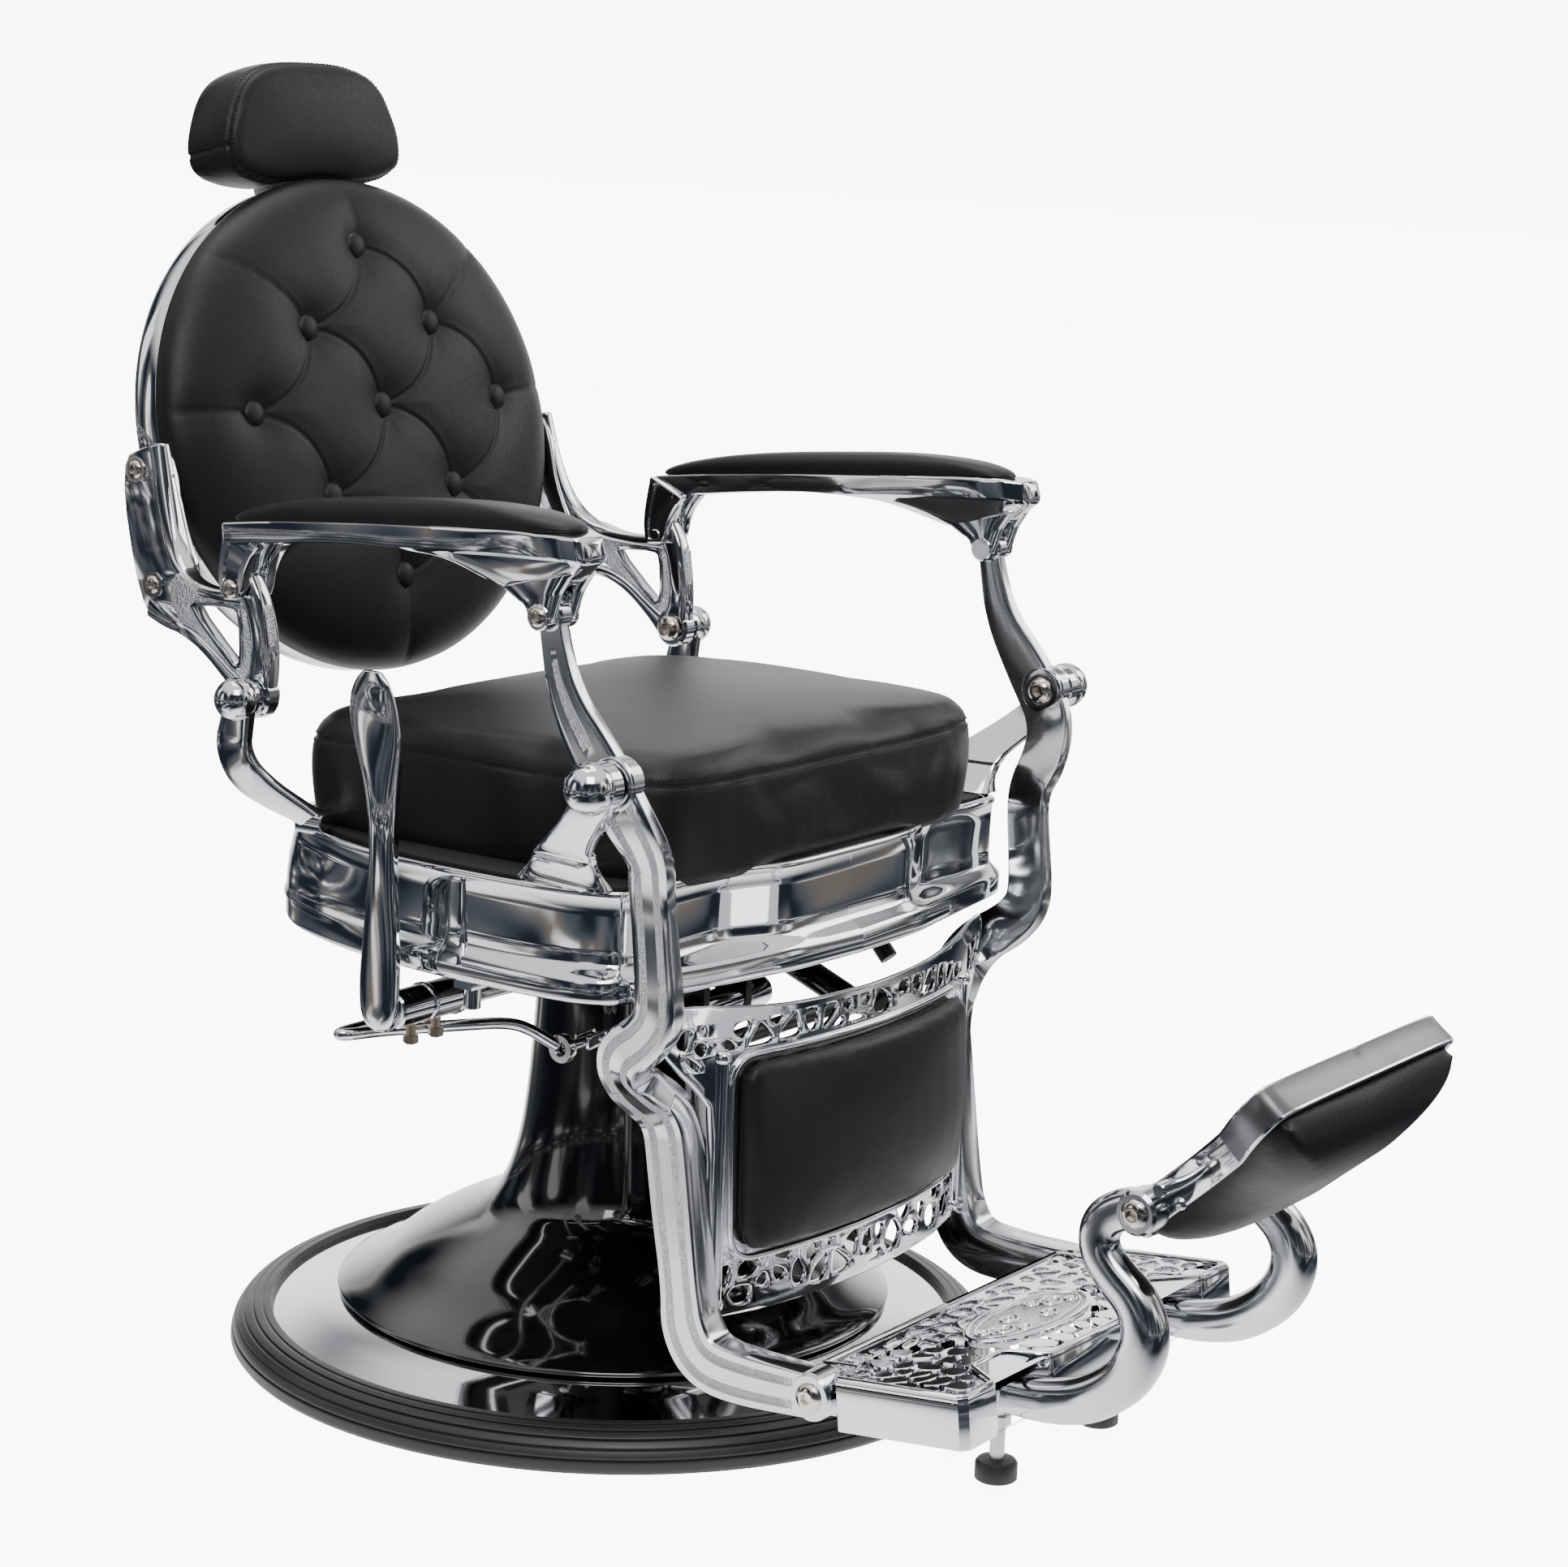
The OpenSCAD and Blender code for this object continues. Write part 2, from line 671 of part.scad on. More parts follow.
module armrest() {
    rail = rounded([
        [190, 716], [103, 725], [11, 733], [-77, 740], [-150, 744.5], [-192, 745], [-204, 734], [-196, 722],
        [-160, 702], [-128, 696], [-99, 704], [-56, 714], [11, 717], [79, 711], [136, 703], [192, 698]], 1);
    plan = rounded([
        [266, 196], [302, 196], [308, 100], [318, 0], [330, -110], [334, -160], [322, -200], [296, -204],
        [276, -190], [272, -120], [270, 0], [264, 100]], 2);
    rear_lug = [[196, 712], [150, 712], [164, 690], [165, 662], [172, 652], [184, 650], [192, 664]];
    front_lug = [[-128, 706], [-146, 690], [-149, 676], [-160, 668], [-172, 672], [-178, 690], [-196, 708]];
    color("#d9dbde") difference() {
        union() {
            intersection() {
                side_plate(240, 345) polygon(rail);
                translate([0, 0, 600]) linear_extrude(200) polygon(plan);
            }
            side_plate(259, 299) polygon(rounded(rear_lug, 1));
            side_plate(288, 325.5) polygon(rounded(front_lug, 1));
        }
        side_plate(269.5, 288) polygon([[230, 690], [150, 690], [120, 640], [230, 640]]);
        side_plate(299, 313.2) polygon([[-120, 698.5], [-200, 698.5], [-200, 640], [-120, 640]]);
        x_rod(250, 310, rear_arm_pin, arm_pin_r + 0.1);
        x_rod(280, 330, front_arm_pin, arm_pin_r + 0.1);
    }
}

module armrest_left() { armrest(); }
module armrest_right() { mirrored() armrest(); }

module arm_pad() {
    plan = rounded([
        [269, 180], [299, 180], [304, 100], [314, 0], [325, -110], [328, -158], [316, -186], [298, -190],
        [280, -180], [276, -120], [273, 0], [268, 100]], 1);
    crown = [[186, 718], [182, 724], [140, 737], [60, 750], [-30, 759], [-120, 762], [-170, 757], [-192, 746],
        [-150, 746.5], [-77, 741.5], [11, 735], [103, 727]];
    color("#1c1c1d") intersection() {
        side_plate(250, 340) polygon(crown);
        translate([0, 0, 600]) linear_extrude(200) polygon(plan);
    }
}

module arm_pad_left() { arm_pad(); }
module arm_pad_right() { mirrored() arm_pad(); }

module arm_pins() {
    color("#cfcac0") {
        x_rod(260, 298, rear_arm_pin, arm_pin_r);
        x_rod(299.1, 302, rear_arm_pin, 8);
        x_rod(289, 325.4, front_arm_pin, arm_pin_r);
        x_rod(325.6, 329, front_arm_pin, 8);
    }
}

module arm_pins_left() { arm_pins(); }
module arm_pins_right() { mirrored() arm_pins(); }

// ---------- leg frame ----------

bar_mid = bar_outer - bar_t / 2;

module leg_bar() {
    side_path = smooth([
        [-159, 692, 10], [-162, 668, 10], [-174, 622, 14], [-206, 578, 21], [-232, 540, 21], [-240, 506, 20],
        [-232, 478, 18], [-236, 440, 18], [-241, 396, 19], [-240, 374, 19], [-216, 352, 21], [-194, 330, 21],
        [-196, 305, 21], [-203, 280, 20], [-213, 210, 20], [-224, 145, 18], [-228, 112, 22], [-246, 88, 22],
        [-285, 84, 21], [-352, 88, 18]], 2);
    front_path = smooth([
        [front_plane, 700, 6], [front_plane, 600, 6], [front_plane, 556, 6], [300, 532, 7], [284, 508, 7],
        [268, 482, 6], [268, 398, 6], [266, 376, 7], [248, 350, 11], [232, 330, 12], [214, 304, 13],
        [198, 286, bar_t / 2], [bar_mid, 262, bar_t / 2], [bar_mid, 50, bar_t / 2]], 2);
    color("#d9dbde") difference() {
        union() {
            intersection() {
                side_plate(150, 340) polygon(band(side_path));
                front_plate(-420, -100) polygon(band(front_path));
            }
            x_rod(front_plane - 6.6, front_plane + 6.6, front_arm_pin, 13.5);
            x_rod(front_plane - 7, front_plane + 7, front_pivot, 22.6);
            x_rod(bar_outer - bar_t + 0.3, bar_outer - 0.3, foot_bolt, 18.4);
        }
        x_rod(290, 320, front_arm_pin, arm_pin_r + 3);
        x_rod(290, 320, front_pivot, pivot_r + run_gap);
        x_rod(170, 220, foot_bolt, 6 + run_gap);
    }
}

module leg_bar_left() { leg_bar(); }
module leg_bar_right() { mirrored() leg_bar(); }

// Centre of the calf panel's arc in plan and its radius
panel_bulge = 26;
panel_half = bar_outer - bar_t - 0.4;
panel_r = (panel_half * panel_half + panel_bulge * panel_bulge) / (2 * panel_bulge);
panel_y = -258;

module panel_sheet(z0, z1, t, half, out) {
    intersection() {
        translate([0, panel_y + panel_r, z0]) difference() {
            cylinder(h = z1 - z0, r = panel_r + out, $fn = 200);
            translate([0, 0, -1]) cylinder(h = z1 - z0 + 2, r = panel_r + out - t, $fn = 200);
        }
        translate([-half, -400, z0]) cube([2 * half, 300, z1 - z0]);
    }
}

module leg_panel() {
    color("#cfd1d4") difference() {
        panel_sheet(112, 366, 5, panel_half, 0);
        for (z = [134, 346]) for (i = [-5 : 5])
            translate([i * 29, -200, z]) rotate([90, 0, 0]) cylinder(h = 140, r = 9, $fn = 24);
    }
}

module calf_pad() {
    outline = rounded([
        [-160, 318], [-152, 326], [152, 326], [160, 318], [160, 178], [152, 170], [-152, 170], [-160, 178]], 1);
    color("#161617") intersection() {
        panel_sheet(160, 330, 16, 170, 16.4);
        front_plate(-340, -200) polygon(outline);
    }
}

module leg_cross_bars() {
    color("#2a2a2c") difference() {
        union() {
            x_rod(-panel_half - 0.2, panel_half + 0.2, [-206, 180], 7);
            x_rod(-panel_half - 0.2, panel_half + 0.2, [-212, 330], 7);
            for (s = [-1, 1]) translate([strut_x + s * 13 - 3, strut_front.x - 10, strut_front.y - 12])
                cube([6, 24, 44]);
        }
        x_rod(strut_x - 30, strut_x + 30, strut_front, front_pin_r + run_gap);
    }
}

front_pin_r = 6.8;

module strut_pin() {
    color("#cfcac0") x_rod(strut_x - 20, strut_x + 20, strut_front, front_pin_r);
}

// ---------- footplate ----------

deck_front = -493;
wall_h = 42;

// Local frame of the footplate: origin at the bolt, tilted up towards the front
module on_deck() {
    translate([0, foot_bolt.x, foot_bolt.y]) rotate([-deck_tilt, 0, 0]) children();
}

// Plan of the deck, right half, in the deck's own frame
deck_rear = 12;
lug_front = -22;
deck_len = -142;
notch_y = -104;
deck_half = [
    [0, deck_rear], [178, deck_rear], [178, lug_front], [209, lug_front], [209, deck_len], [160, deck_len + 2],
    [132, notch_y], [92, notch_y], [82, deck_len], [0, deck_len - 2]];

module footplate() {
    color("#cfd1d4") on_deck() difference() {
        union() {
            difference() {
                translate([0, 0, -24]) linear_extrude(wall_h) polygon(both_sides(deck_half));
                translate([-168, lug_front - 4, -30]) cube([336, 26, wall_h]);
                translate([-199, deck_len + 10, -30]) cube([56, 110, wall_h]);
                translate([143, deck_len + 10, -30]) cube([56, 110, wall_h]);
                translate([-82, deck_len + 10, -30]) cube([164, 110, wall_h]);
                translate([-143.5, notch_y + 26, -30]) cube([287, 48, wall_h]);
            }
            for (s = [-1, 1]) scale([s, 1, 1]) x_rod(156, 178, [0, 0], 17);
        }
        both() x_rod(140, 190, [0, 0], 6 + run_gap);
        for (i = [-4 : 4]) for (j = [0 : 2]) if (abs(i) > 1 || j != 1)
            translate([i * 34, -28 - j * 36, 0]) cylinder(h = 40, r = 9, $fn = 24);
        both() translate([foot_arm_x, 0, 0]) on_deck_inverse() foot_arm_bore();
        both() on_deck_inverse() translate([leveller_x, foot_bolt.x + leveller_y, 60]) cylinder(h = 100, r = 6.3);
    }
}

// From the deck's frame back to the chair's frame
module on_deck_inverse() {
    rotate([deck_tilt, 0, 0]) translate([0, -foot_bolt.x, -foot_bolt.y]) children();
}

foot_arm_x = 116;
leveller_x = 79;
leveller_y = -92;

// Room for the spigot of a foot arm in the deck
module foot_arm_bore() {
    translate([0, -440, 94]) rotate([90, 0, 0]) cylinder(h = 60, r = 9.1);
}

module foot_bolts() {
    color("#cfcac0") both() {
        x_rod(160, bar_outer, foot_bolt, 6);
        x_rod(bar_outer + 0.2, bar_outer + 4.5, foot_bolt, 12);
    }
}

module leveller_stems() {
    color("#b9bbbe") both() translate([leveller_x, foot_bolt.x + leveller_y, 0]) {
        translate([0, 0, 24.2]) cylinder(h = 92, r = 6);
        translate([0, 0, 52]) cylinder(h = 8, r = 10, $fn = 6);
    }
}

module leveller_feet() {
    color("#1b1b1c") both() translate([leveller_x, foot_bolt.x + leveller_y, 6]) {
        cylinder(h = 18, r = 17);
    }
}

// Centre line of a foot arm in Y-Z with half heights
foot_arm_line = smooth([
    [-459, 94, 13], [-482, 94, 13], [-516, 98, 13], [-552, 108, 14], [-586, 134, 14], [-598, 168, 14],
    [-590, 196, 14], [-566, 212, 13], [-549, 230, 12.5], [-551, 252, 13], [-566, 264, 14], [-581, 265, 14]], 2);

module foot_arm() {
    color("#d9dbde") difference() {
        union() {
            side_plate(foot_arm_x - 12, foot_arm_x + 12) polygon(band(foot_arm_line));
            x_rod(foot_arm_x - 12, foot_arm_x + 12, flip_hinge, 18);
            translate([foot_arm_x, -459, 94]) rotate([-90, 0, 0]) cylinder(h = 18, r = 9);
        }
        x_rod(foot_arm_x - 20, foot_arm_x + 20, flip_hinge, 5 + run_gap);
    }
}

module foot_arm_left() { foot_arm(); }
module foot_arm_right() { mirrored() foot_arm(); }

// ---------- flip rest ----------

tray_depth = 28;
tray_len = 162;
tray_tail = -30;
ear_half = foot_arm_x - 12.6;

// Local frame of the flip rest: X across, Y along the plate, Z out of its padded face
module on_flip() {
    translate([0, flip_hinge.x, flip_hinge.y]) rotate([180 - flip_angle, 0, 0]) children();
}

tray_plan = rounded(both_sides([
    [0, tray_tail], [ear_half - 18, tray_tail], [ear_half - 0.5, tray_tail + 20], [ear_half, 44], [flip_half - 18, 96],
    [flip_half, 128], [flip_half, tray_len - 8], [flip_half - 10, tray_len], [0, tray_len]]), 1);

module flip_tray() {
    color("#d9dbde") difference() {
        union() {
            on_flip() difference() {
                linear_extrude(tray_depth) polygon(tray_plan);
                translate([0, 0, 5]) linear_extrude(tray_depth) offset(delta = -6) polygon(tray_plan);
            }
            x_rod(ear_half - 16, ear_half, flip_hinge, 15);
            x_rod(-ear_half, -ear_half + 16, flip_hinge, 15);
        }
        x_rod(ear_half - 30, ear_half + 30, flip_hinge, 5.1);
        x_rod(-ear_half - 30, -ear_half + 30, flip_hinge, 5.1);
    }
}

module flip_pad() {
    color("#161617") on_flip() difference() {
        intersection() {
            hull() {
                translate([0, 0, 17]) linear_extrude(12) offset(delta = -7) polygon(tray_plan);
                translate([0, 20, 45]) linear_extrude(6) scale([0.7, 0.62]) polygon(tray_plan);
                translate([0, 34, 54]) linear_extrude(4) scale([0.4, 0.3]) polygon(tray_plan);
            }
            linear_extrude(tray_depth * 3) offset(delta = -6.8) polygon(tray_plan);
        }
        translate([0, 0, -1]) rotate([0, 90, 0]) cylinder(h = 300, r = 18, center = true);
    }
}

module flip_bolts() {
    color("#cfcac0") both() {
        x_rod(ear_half - 14, foot_arm_x + 12, flip_hinge, 5);
        x_rod(foot_arm_x + 12.2, foot_arm_x + 16, flip_hinge, 11);
    }
}

rubber_ring();
base_disc();
base_plate();
pump_cylinder();
pump_bolts();
gland_nut();
bell_cover();
lift_ram();
thrust_bearing();
swivel_hub();
seat_subframe();
seat_frame();
seat_board();
seat_cushion();
front_bracket_right();
front_bracket_left();
rear_arm_right();
rear_arm_left();
pivot_screws();
lever_bearing();
stop_screw();
cross_tube();
under_brackets();
leg_stop();
pump_shaft();
pump_lever();
set_screws();
recline_lever();
strut_cylinder();
strut_rod();
back_shell();
back_pad();
back_buttons();
back_bracket_right();
back_bracket_left();
bracket_screws();
headrest_guide();
headrest_post();
headrest_pad();
armrest_right();
armrest_left();
arm_pad_right();
arm_pad_left();
arm_pins_right();
arm_pins_left();
leg_bar_right();
leg_bar_left();
leg_cross_bars();
leg_panel();
calf_pad();
strut_pin();
footplate();
foot_bolts();
leveller_stems();
leveller_feet();
foot_arm_right();
foot_arm_left();
flip_tray();
flip_pad();
flip_bolts();
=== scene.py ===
import json
import math
import random

import bmesh
import bpy
import numpy as np
from mathutils import Matrix, Vector
from mathutils.bvhtree import BVHTree


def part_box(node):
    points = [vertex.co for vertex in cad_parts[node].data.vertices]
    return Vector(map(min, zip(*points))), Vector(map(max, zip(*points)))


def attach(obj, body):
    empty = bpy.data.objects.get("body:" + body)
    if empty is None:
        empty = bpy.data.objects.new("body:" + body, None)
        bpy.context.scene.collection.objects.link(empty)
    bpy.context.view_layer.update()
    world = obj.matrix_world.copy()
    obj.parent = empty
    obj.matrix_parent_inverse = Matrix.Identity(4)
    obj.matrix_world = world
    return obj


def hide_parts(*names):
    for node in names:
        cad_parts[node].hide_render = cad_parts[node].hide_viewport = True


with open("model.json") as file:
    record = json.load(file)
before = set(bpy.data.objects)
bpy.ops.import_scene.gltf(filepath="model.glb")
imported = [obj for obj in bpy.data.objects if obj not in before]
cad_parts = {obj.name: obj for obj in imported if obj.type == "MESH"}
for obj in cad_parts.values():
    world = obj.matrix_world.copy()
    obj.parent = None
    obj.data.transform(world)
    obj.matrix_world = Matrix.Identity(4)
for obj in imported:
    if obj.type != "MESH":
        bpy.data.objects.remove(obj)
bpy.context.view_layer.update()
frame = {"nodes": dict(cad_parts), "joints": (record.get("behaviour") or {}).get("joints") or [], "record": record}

MM = 0.001
SIDES = {"right": -1, "left": 1}
X, Y, Z = Vector((1, 0, 0)), Vector((0, 1, 0)), Vector((0, 0, 1))
JOINTS = {j["name"]: j for j in frame["joints"]}


def anchor(joint):
    """A joint's place in millimetres."""
    return Vector(JOINTS[joint]["pos_m"]) / MM


def box(node):
    """Lower and upper corner of a CAD node in millimetres."""
    lo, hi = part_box(node)
    return Vector(lo) / MM, Vector(hi) / MM


# ---------- materials ----------

def add_node(tree, kind, *in_order, **named):
    """Adds a shader node. Its inputs come in order or by name: a socket is linked, anything else is set."""
    node = tree.nodes.new("ShaderNode" + kind)
    for key, value in [*enumerate(in_order), *named.items()]:
        if isinstance(key, str) and hasattr(node, key):
            setattr(node, key, value)
            continue
        socket = node.inputs[key.replace("_", " ") if isinstance(key, str) else key]
        if isinstance(value, bpy.types.NodeSocket):
            tree.links.new(value, socket)
        else:
            socket.default_value = value
    return node.outputs


def material(name, color, metallic=0.0, rough=0.3, vary=0.05, vary_scale=12.0, grain=None, waves=0.0, coat=0.0,
             tint=None, specular=0.5):
    """A procedural finish: colour and roughness clouds, a fine grain and long casting waves in the bump."""
    mat = bpy.data.materials.new(name)
    mat.use_nodes = True
    tree = mat.node_tree
    shader = tree.nodes["Principled BSDF"].inputs
    for key, value in (("Metallic", metallic), ("Coat Weight", coat), ("Coat Roughness", 0.03),
                       ("Specular IOR Level", specular)):
        shader[key].default_value = value
    where = add_node(tree, "TexCoord")["Object"]
    clouds = add_node(tree, "TexNoise", Vector=where, Scale=vary_scale, Detail=5.0, Roughness=0.6)["Fac"]
    smoothest = max(rough - vary, 0.01)
    spread = add_node(tree, "MapRange", Value=clouds, To_Min=smoothest, To_Max=rough + vary)["Result"]
    tree.links.new(spread, shader["Roughness"])
    tint = tint or [c * 0.8 for c in color]
    blend = add_node(tree, "MixRGB", Fac=clouds, Color1=(*color, 1), Color2=(*tint, 1))["Color"]
    tree.links.new(blend, shader["Base Color"])
    layers = []
    if waves:
        layers.append((add_node(tree, "TexNoise", Vector=where, Scale=9.0, Detail=1.0)["Fac"], waves, 0.004))
    if grain:
        kind, scale, strength, depth = grain
        if kind == "cells":
            fine = add_node(tree, "TexVoronoi", Vector=where, feature="DISTANCE_TO_EDGE", Scale=scale)["Distance"]
        else:
            fine = add_node(tree, "TexNoise", Vector=where, Scale=scale, Detail=3.0)["Fac"]
        layers.append((fine, strength, depth))
    below = {}
    for height, strength, depth in layers:
        bump = add_node(tree, "Bump", Height=height, Strength=strength, Distance=depth, **below)["Normal"]
        below = {"Normal": bump}
    if below:
        tree.links.new(bump, shader["Normal"])
    return mat


MAT = {
    "polished_chrome": material("polished_chrome", (0.80, 0.81, 0.83), 1, 0.055, 0.03, 14, waves=0.10),
    "pressed_chrome": material("pressed_chrome", (0.86, 0.87, 0.88), 1, 0.05, 0.02, 6, waves=0.05),
    "cast_chrome": material("cast_chrome", (0.70, 0.71, 0.73), 1, 0.13, 0.06, 20, waves=0.12),
    "stippled": material("stippled", (0.86, 0.87, 0.89), 1, 0.20, 0.08, 300, grain=("noise", 620, 1.0, 0.003)),
    "satin_tray": material("satin_tray", (0.16, 0.165, 0.17), 0.9, 0.34, 0.05, 40,
                           grain=("noise", 1500, 0.2, 0.0003)),
    "black_gloss": material("black_gloss", (0.004, 0.004, 0.0045), 0, 0.09, 0.02, 5, coat=1.0, waves=0.02),
    "black_steel": material("black_steel", (0.014, 0.014, 0.015), 0.3, 0.38, 0.1, 30,
                            grain=("noise", 700, 0.2, 0.0003)),
    "cast_iron": material("cast_iron", (0.05, 0.05, 0.052), 0.7, 0.5, 0.1, 40, grain=("noise", 500, 0.5, 0.0005)),
    "zinc_steel": material("zinc_steel", (0.55, 0.56, 0.57), 1, 0.3, 0.08, 60),
    "nickel_screw": material("nickel_screw", (0.72, 0.66, 0.60), 1, 0.14, 0.05, 80),
    "brass_screw": material("brass_screw", (0.62, 0.50, 0.38), 1, 0.3, 0.08, 90),
    "black_rubber": material("black_rubber", (0.022, 0.022, 0.024), 0, 0.42, 0.08, 18,
                             grain=("noise", 500, 0.25, 0.0004)),
    "black_leather": material("black_leather", (0.0062, 0.0064, 0.0075), 0, 0.42, 0.05, 7, specular=0.27,
                              tint=(0.0082, 0.0085, 0.0098), grain=("cells", 750, 0.4, 0.0004)),
    "thread": material("thread", (0.012, 0.012, 0.013), 0, 0.7, 0.1, 200, grain=("noise", 3000, 0.5, 0.0002)),
    "black_board": material("black_board", (0.012, 0.012, 0.012), 0, 0.7, 0.1, 30),
}

# ---------- mesh helpers ----------

def clamp(value):
    """Keeps a share between 0 and 1."""
    return min(1.0, max(0.0, value))


def circle(n, start=0.0):
    """Cosines and sines of n even steps round a circle."""
    angles = [2 * math.pi * (i + start) / n for i in range(n)]
    return [(math.cos(angle), math.sin(angle)) for angle in angles]


def pairs(points):
    """Each point of a closed ring with the next one."""
    return list(zip(points, points[1:] + points[:1]))


def band(n, j):
    """The four-sided faces between ring j and ring j + 1, in rings of n points."""
    return [(j * n + i, j * n + (i + 1) % n, (j + 1) * n + (i + 1) % n, (j + 1) * n + i) for i in range(n)]


def build(name, verts, faces, slot, body, nodes=(), sub=0, side=1, mats=None, face_mats=None, sharp=40):
    """Makes one piece from millimetre points and hangs it on its CAD body. side -1 mirrors it to the right."""
    mesh = bpy.data.meshes.new(name)
    mesh.from_pydata([Vector((side * v[0], v[1], v[2])) * MM for v in verts], [], faces)
    for m in mats or [slot]:
        mesh.materials.append(MAT[m])
    if face_mats:
        mesh.polygons.foreach_set("material_index", face_mats)
    bm = bmesh.new()
    bm.from_mesh(mesh)
    bmesh.ops.recalc_face_normals(bm, faces=bm.faces)
    bm.to_mesh(mesh)
    bm.free()
    mesh.shade_smooth()
    if sharp and not sub:
        mesh.set_sharp_from_angle(angle=math.radians(sharp))
    obj = bpy.data.objects.new(name, mesh)
    bpy.context.collection.objects.link(obj)
    if sub:
        modifier = obj.modifiers.new("round", "SUBSURF")
        modifier.levels = modifier.render_levels = sub
    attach(obj, body)
    if nodes:
        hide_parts(*nodes)
    return obj


class Shape:
    """Collects points and faces, with a material number for each face."""

    def __init__(self):
        self.verts, self.faces, self.mats = [], [], []

    def add(self, verts, faces, mat=0):
        start = len(self.verts)
        self.verts += [tuple(v) for v in verts]
        self.faces += [tuple(start + i for i in f) for f in faces]
        self.mats += mat if isinstance(mat, list) else [mat] * len(faces)
        return self

    def put(self, name, slot, body, nodes=(), side=1, mats=None, sub=0, sharp=40):
        return build(name, self.verts, self.faces, slot, body, nodes, sub, side, mats, self.mats, sharp)


def cut_corners(points, rounds, closed=False):
    """Corner cutting, the same rule the CAD source uses for its paths and outlines."""
    points = [Vector(p) for p in points]
    for _ in range(rounds):
        finer = []
        for a, b in pairs(points) if closed else zip(points, points[1:]):
            finer += [a.lerp(b, 0.25), a.lerp(b, 0.75)]
        points = finer if closed else [points[0]] + finer + [points[-1]]
    return points


def squircle(n=20, power=4.0):
    """Rounded square of half size 1, as (a, b) pairs."""
    return [(math.copysign(abs(c) ** (2 / power), c), math.copysign(abs(s) ** (2 / power), s))
            for c, s in circle(n, 0.5)]


def squircle_section(n, power):
    """The same rounded square at every station of a sweep."""
    return lambda i, t: squircle(n, power)


def path_frames(points, ref):
    """Tangent, thickness direction (nearest to ref) and width direction at each point."""
    out = []
    for i in range(len(points)):
        ahead, behind = points[min(i + 1, len(points) - 1)], points[max(i - 1, 0)]
        tangent = (ahead - behind).normalized()
        across = ref.cross(tangent).normalized()
        out.append((tangent, tangent.cross(across).normalized(), across))
    return out


END_RINGS = 5


def sweep(stations, ref=X, section=None, ends=0.0, rounds=3, face_mat=None, power=4.0):
    """Sweeps a section along (x, y, z, half thickness, half width) stations, with rounded ends of that length."""
    dense = cut_corners([Vector(s[:5]) for s in stations], rounds) if rounds else [Vector(s) for s in stations]
    points = [Vector(d[:3]) for d in dense]
    basis = path_frames(points, ref)
    section = section or squircle_section(20, power)
    last = len(points) - 1

    def ring(i, shift, scale):
        tangent, thick, wide = basis[i]
        centre = points[i] + tangent * shift
        return [centre + thick * (a * dense[i][3] * scale) + wide * (b * dense[i][4] * scale)
                for a, b in section(i, i / last)]

    caps = [math.pi / 2 * k / (END_RINGS + 0.25) for k in range(1, END_RINGS + 1)] if ends else []
    rings = [ring(0, -ends * math.sin(angle), math.cos(angle)) for angle in reversed(caps)]
    rings += [ring(i, 0, 1) for i in range(len(points))]
    rings += [ring(last, ends * math.sin(angle), math.cos(angle)) for angle in caps]
    n = len(rings[0])
    verts = [v for r in rings for v in r]
    faces, mats = [], []
    for j in range(len(rings) - 1):
        faces += band(n, j)
        mats += [face_mat(i, j) if face_mat else 0 for i in range(n)]
    for base, order in ((0, -1), (len(rings) - 1, 1)):
        middle = sum((rings[base][i] for i in range(n)), Vector()) / n
        verts.append(middle)
        for i in range(n):
            faces.append((base * n + i, base * n + (i + 1) % n, len(verts) - 1)[::order])
            mats.append(0)
    return verts, faces, mats


def lathe(profile, n=96, at=(0, 0, 0), axis="Z", closed=False):
    """Turns (radius, height) points about an axis through a point."""
    verts, faces = [], []
    count = len(profile)
    for c, s in circle(n):
        for r, h in profile:
            verts.append(Vector(at) + Vector((h, r * c, r * s) if axis == "X" else (r * c, r * s, h)))
    spans = count if closed else count - 1
    for j in range(n):
        for i in range(spans):
            a, b = j * count + i, j * count + (i + 1) % count
            c, d = ((j + 1) % n) * count + (i + 1) % count, ((j + 1) % n) * count + i
            faces.append((a, b, c, d))
    return verts, faces


def ball(centre, radius, n=20):
    """A sphere as a lathe."""
    angles = [math.pi * k / n for k in range(n + 1)]
    return lathe([(radius * math.sin(a) + 0.01, -radius * math.cos(a)) for a in angles], 2 * n, centre)


def rod(a, b, r, n=16, chamfer=0.6):
    """A straight rod with softened ends."""
    a, b = Vector(a), Vector(b)
    length = (b - a).length
    turn = Z.rotation_difference((b - a).normalized()).to_matrix()
    half = [(0.01, 0), (r - chamfer, 0), (r, chamfer)]
    verts, faces = lathe(half + [(radius, length - h) for radius, h in half[::-1]], n)
    return [a + turn @ v for v in verts], faces


def cross_rod(x1, x2, at, r, n=16, chamfer=0.6):
    """A rod along X, through a point."""
    return rod((x1, at.y, at.z), (x2, at.y, at.z), r, n, chamfer)


def socket_head(at, axis, radius, height, socket=0.42):
    """A button head with a hexagon socket, its flat face at the point and its dome along the axis."""
    rings = [(1.0, 0.0), (1.0, 0.22), (0.93, 0.5), (0.78, 0.78), (0.58, 0.95), (socket * 1.2, 1.0)]
    n = 24
    verts = [Vector((r * radius * c, r * radius * s, h * height)) for r, h in rings for c, s in circle(n)]
    for size, h in ((1, 0.97), (1, 0.35), (0.05, 0.34)):
        for i, (c, s) in enumerate(circle(n)):
            flat = math.cos(math.pi / 6) / math.cos((2 * math.pi * i / n) % (math.pi / 3) - math.pi / 6)
            r = socket * radius * flat * size
            verts.append(Vector((r * c, r * s, h * height)))
    faces = [face for j in range(len(rings) + 2) for face in band(n, j)]
    turn = Z.rotation_difference(Vector(axis)).to_matrix()
    return [Vector(at) + turn @ v for v in verts], faces


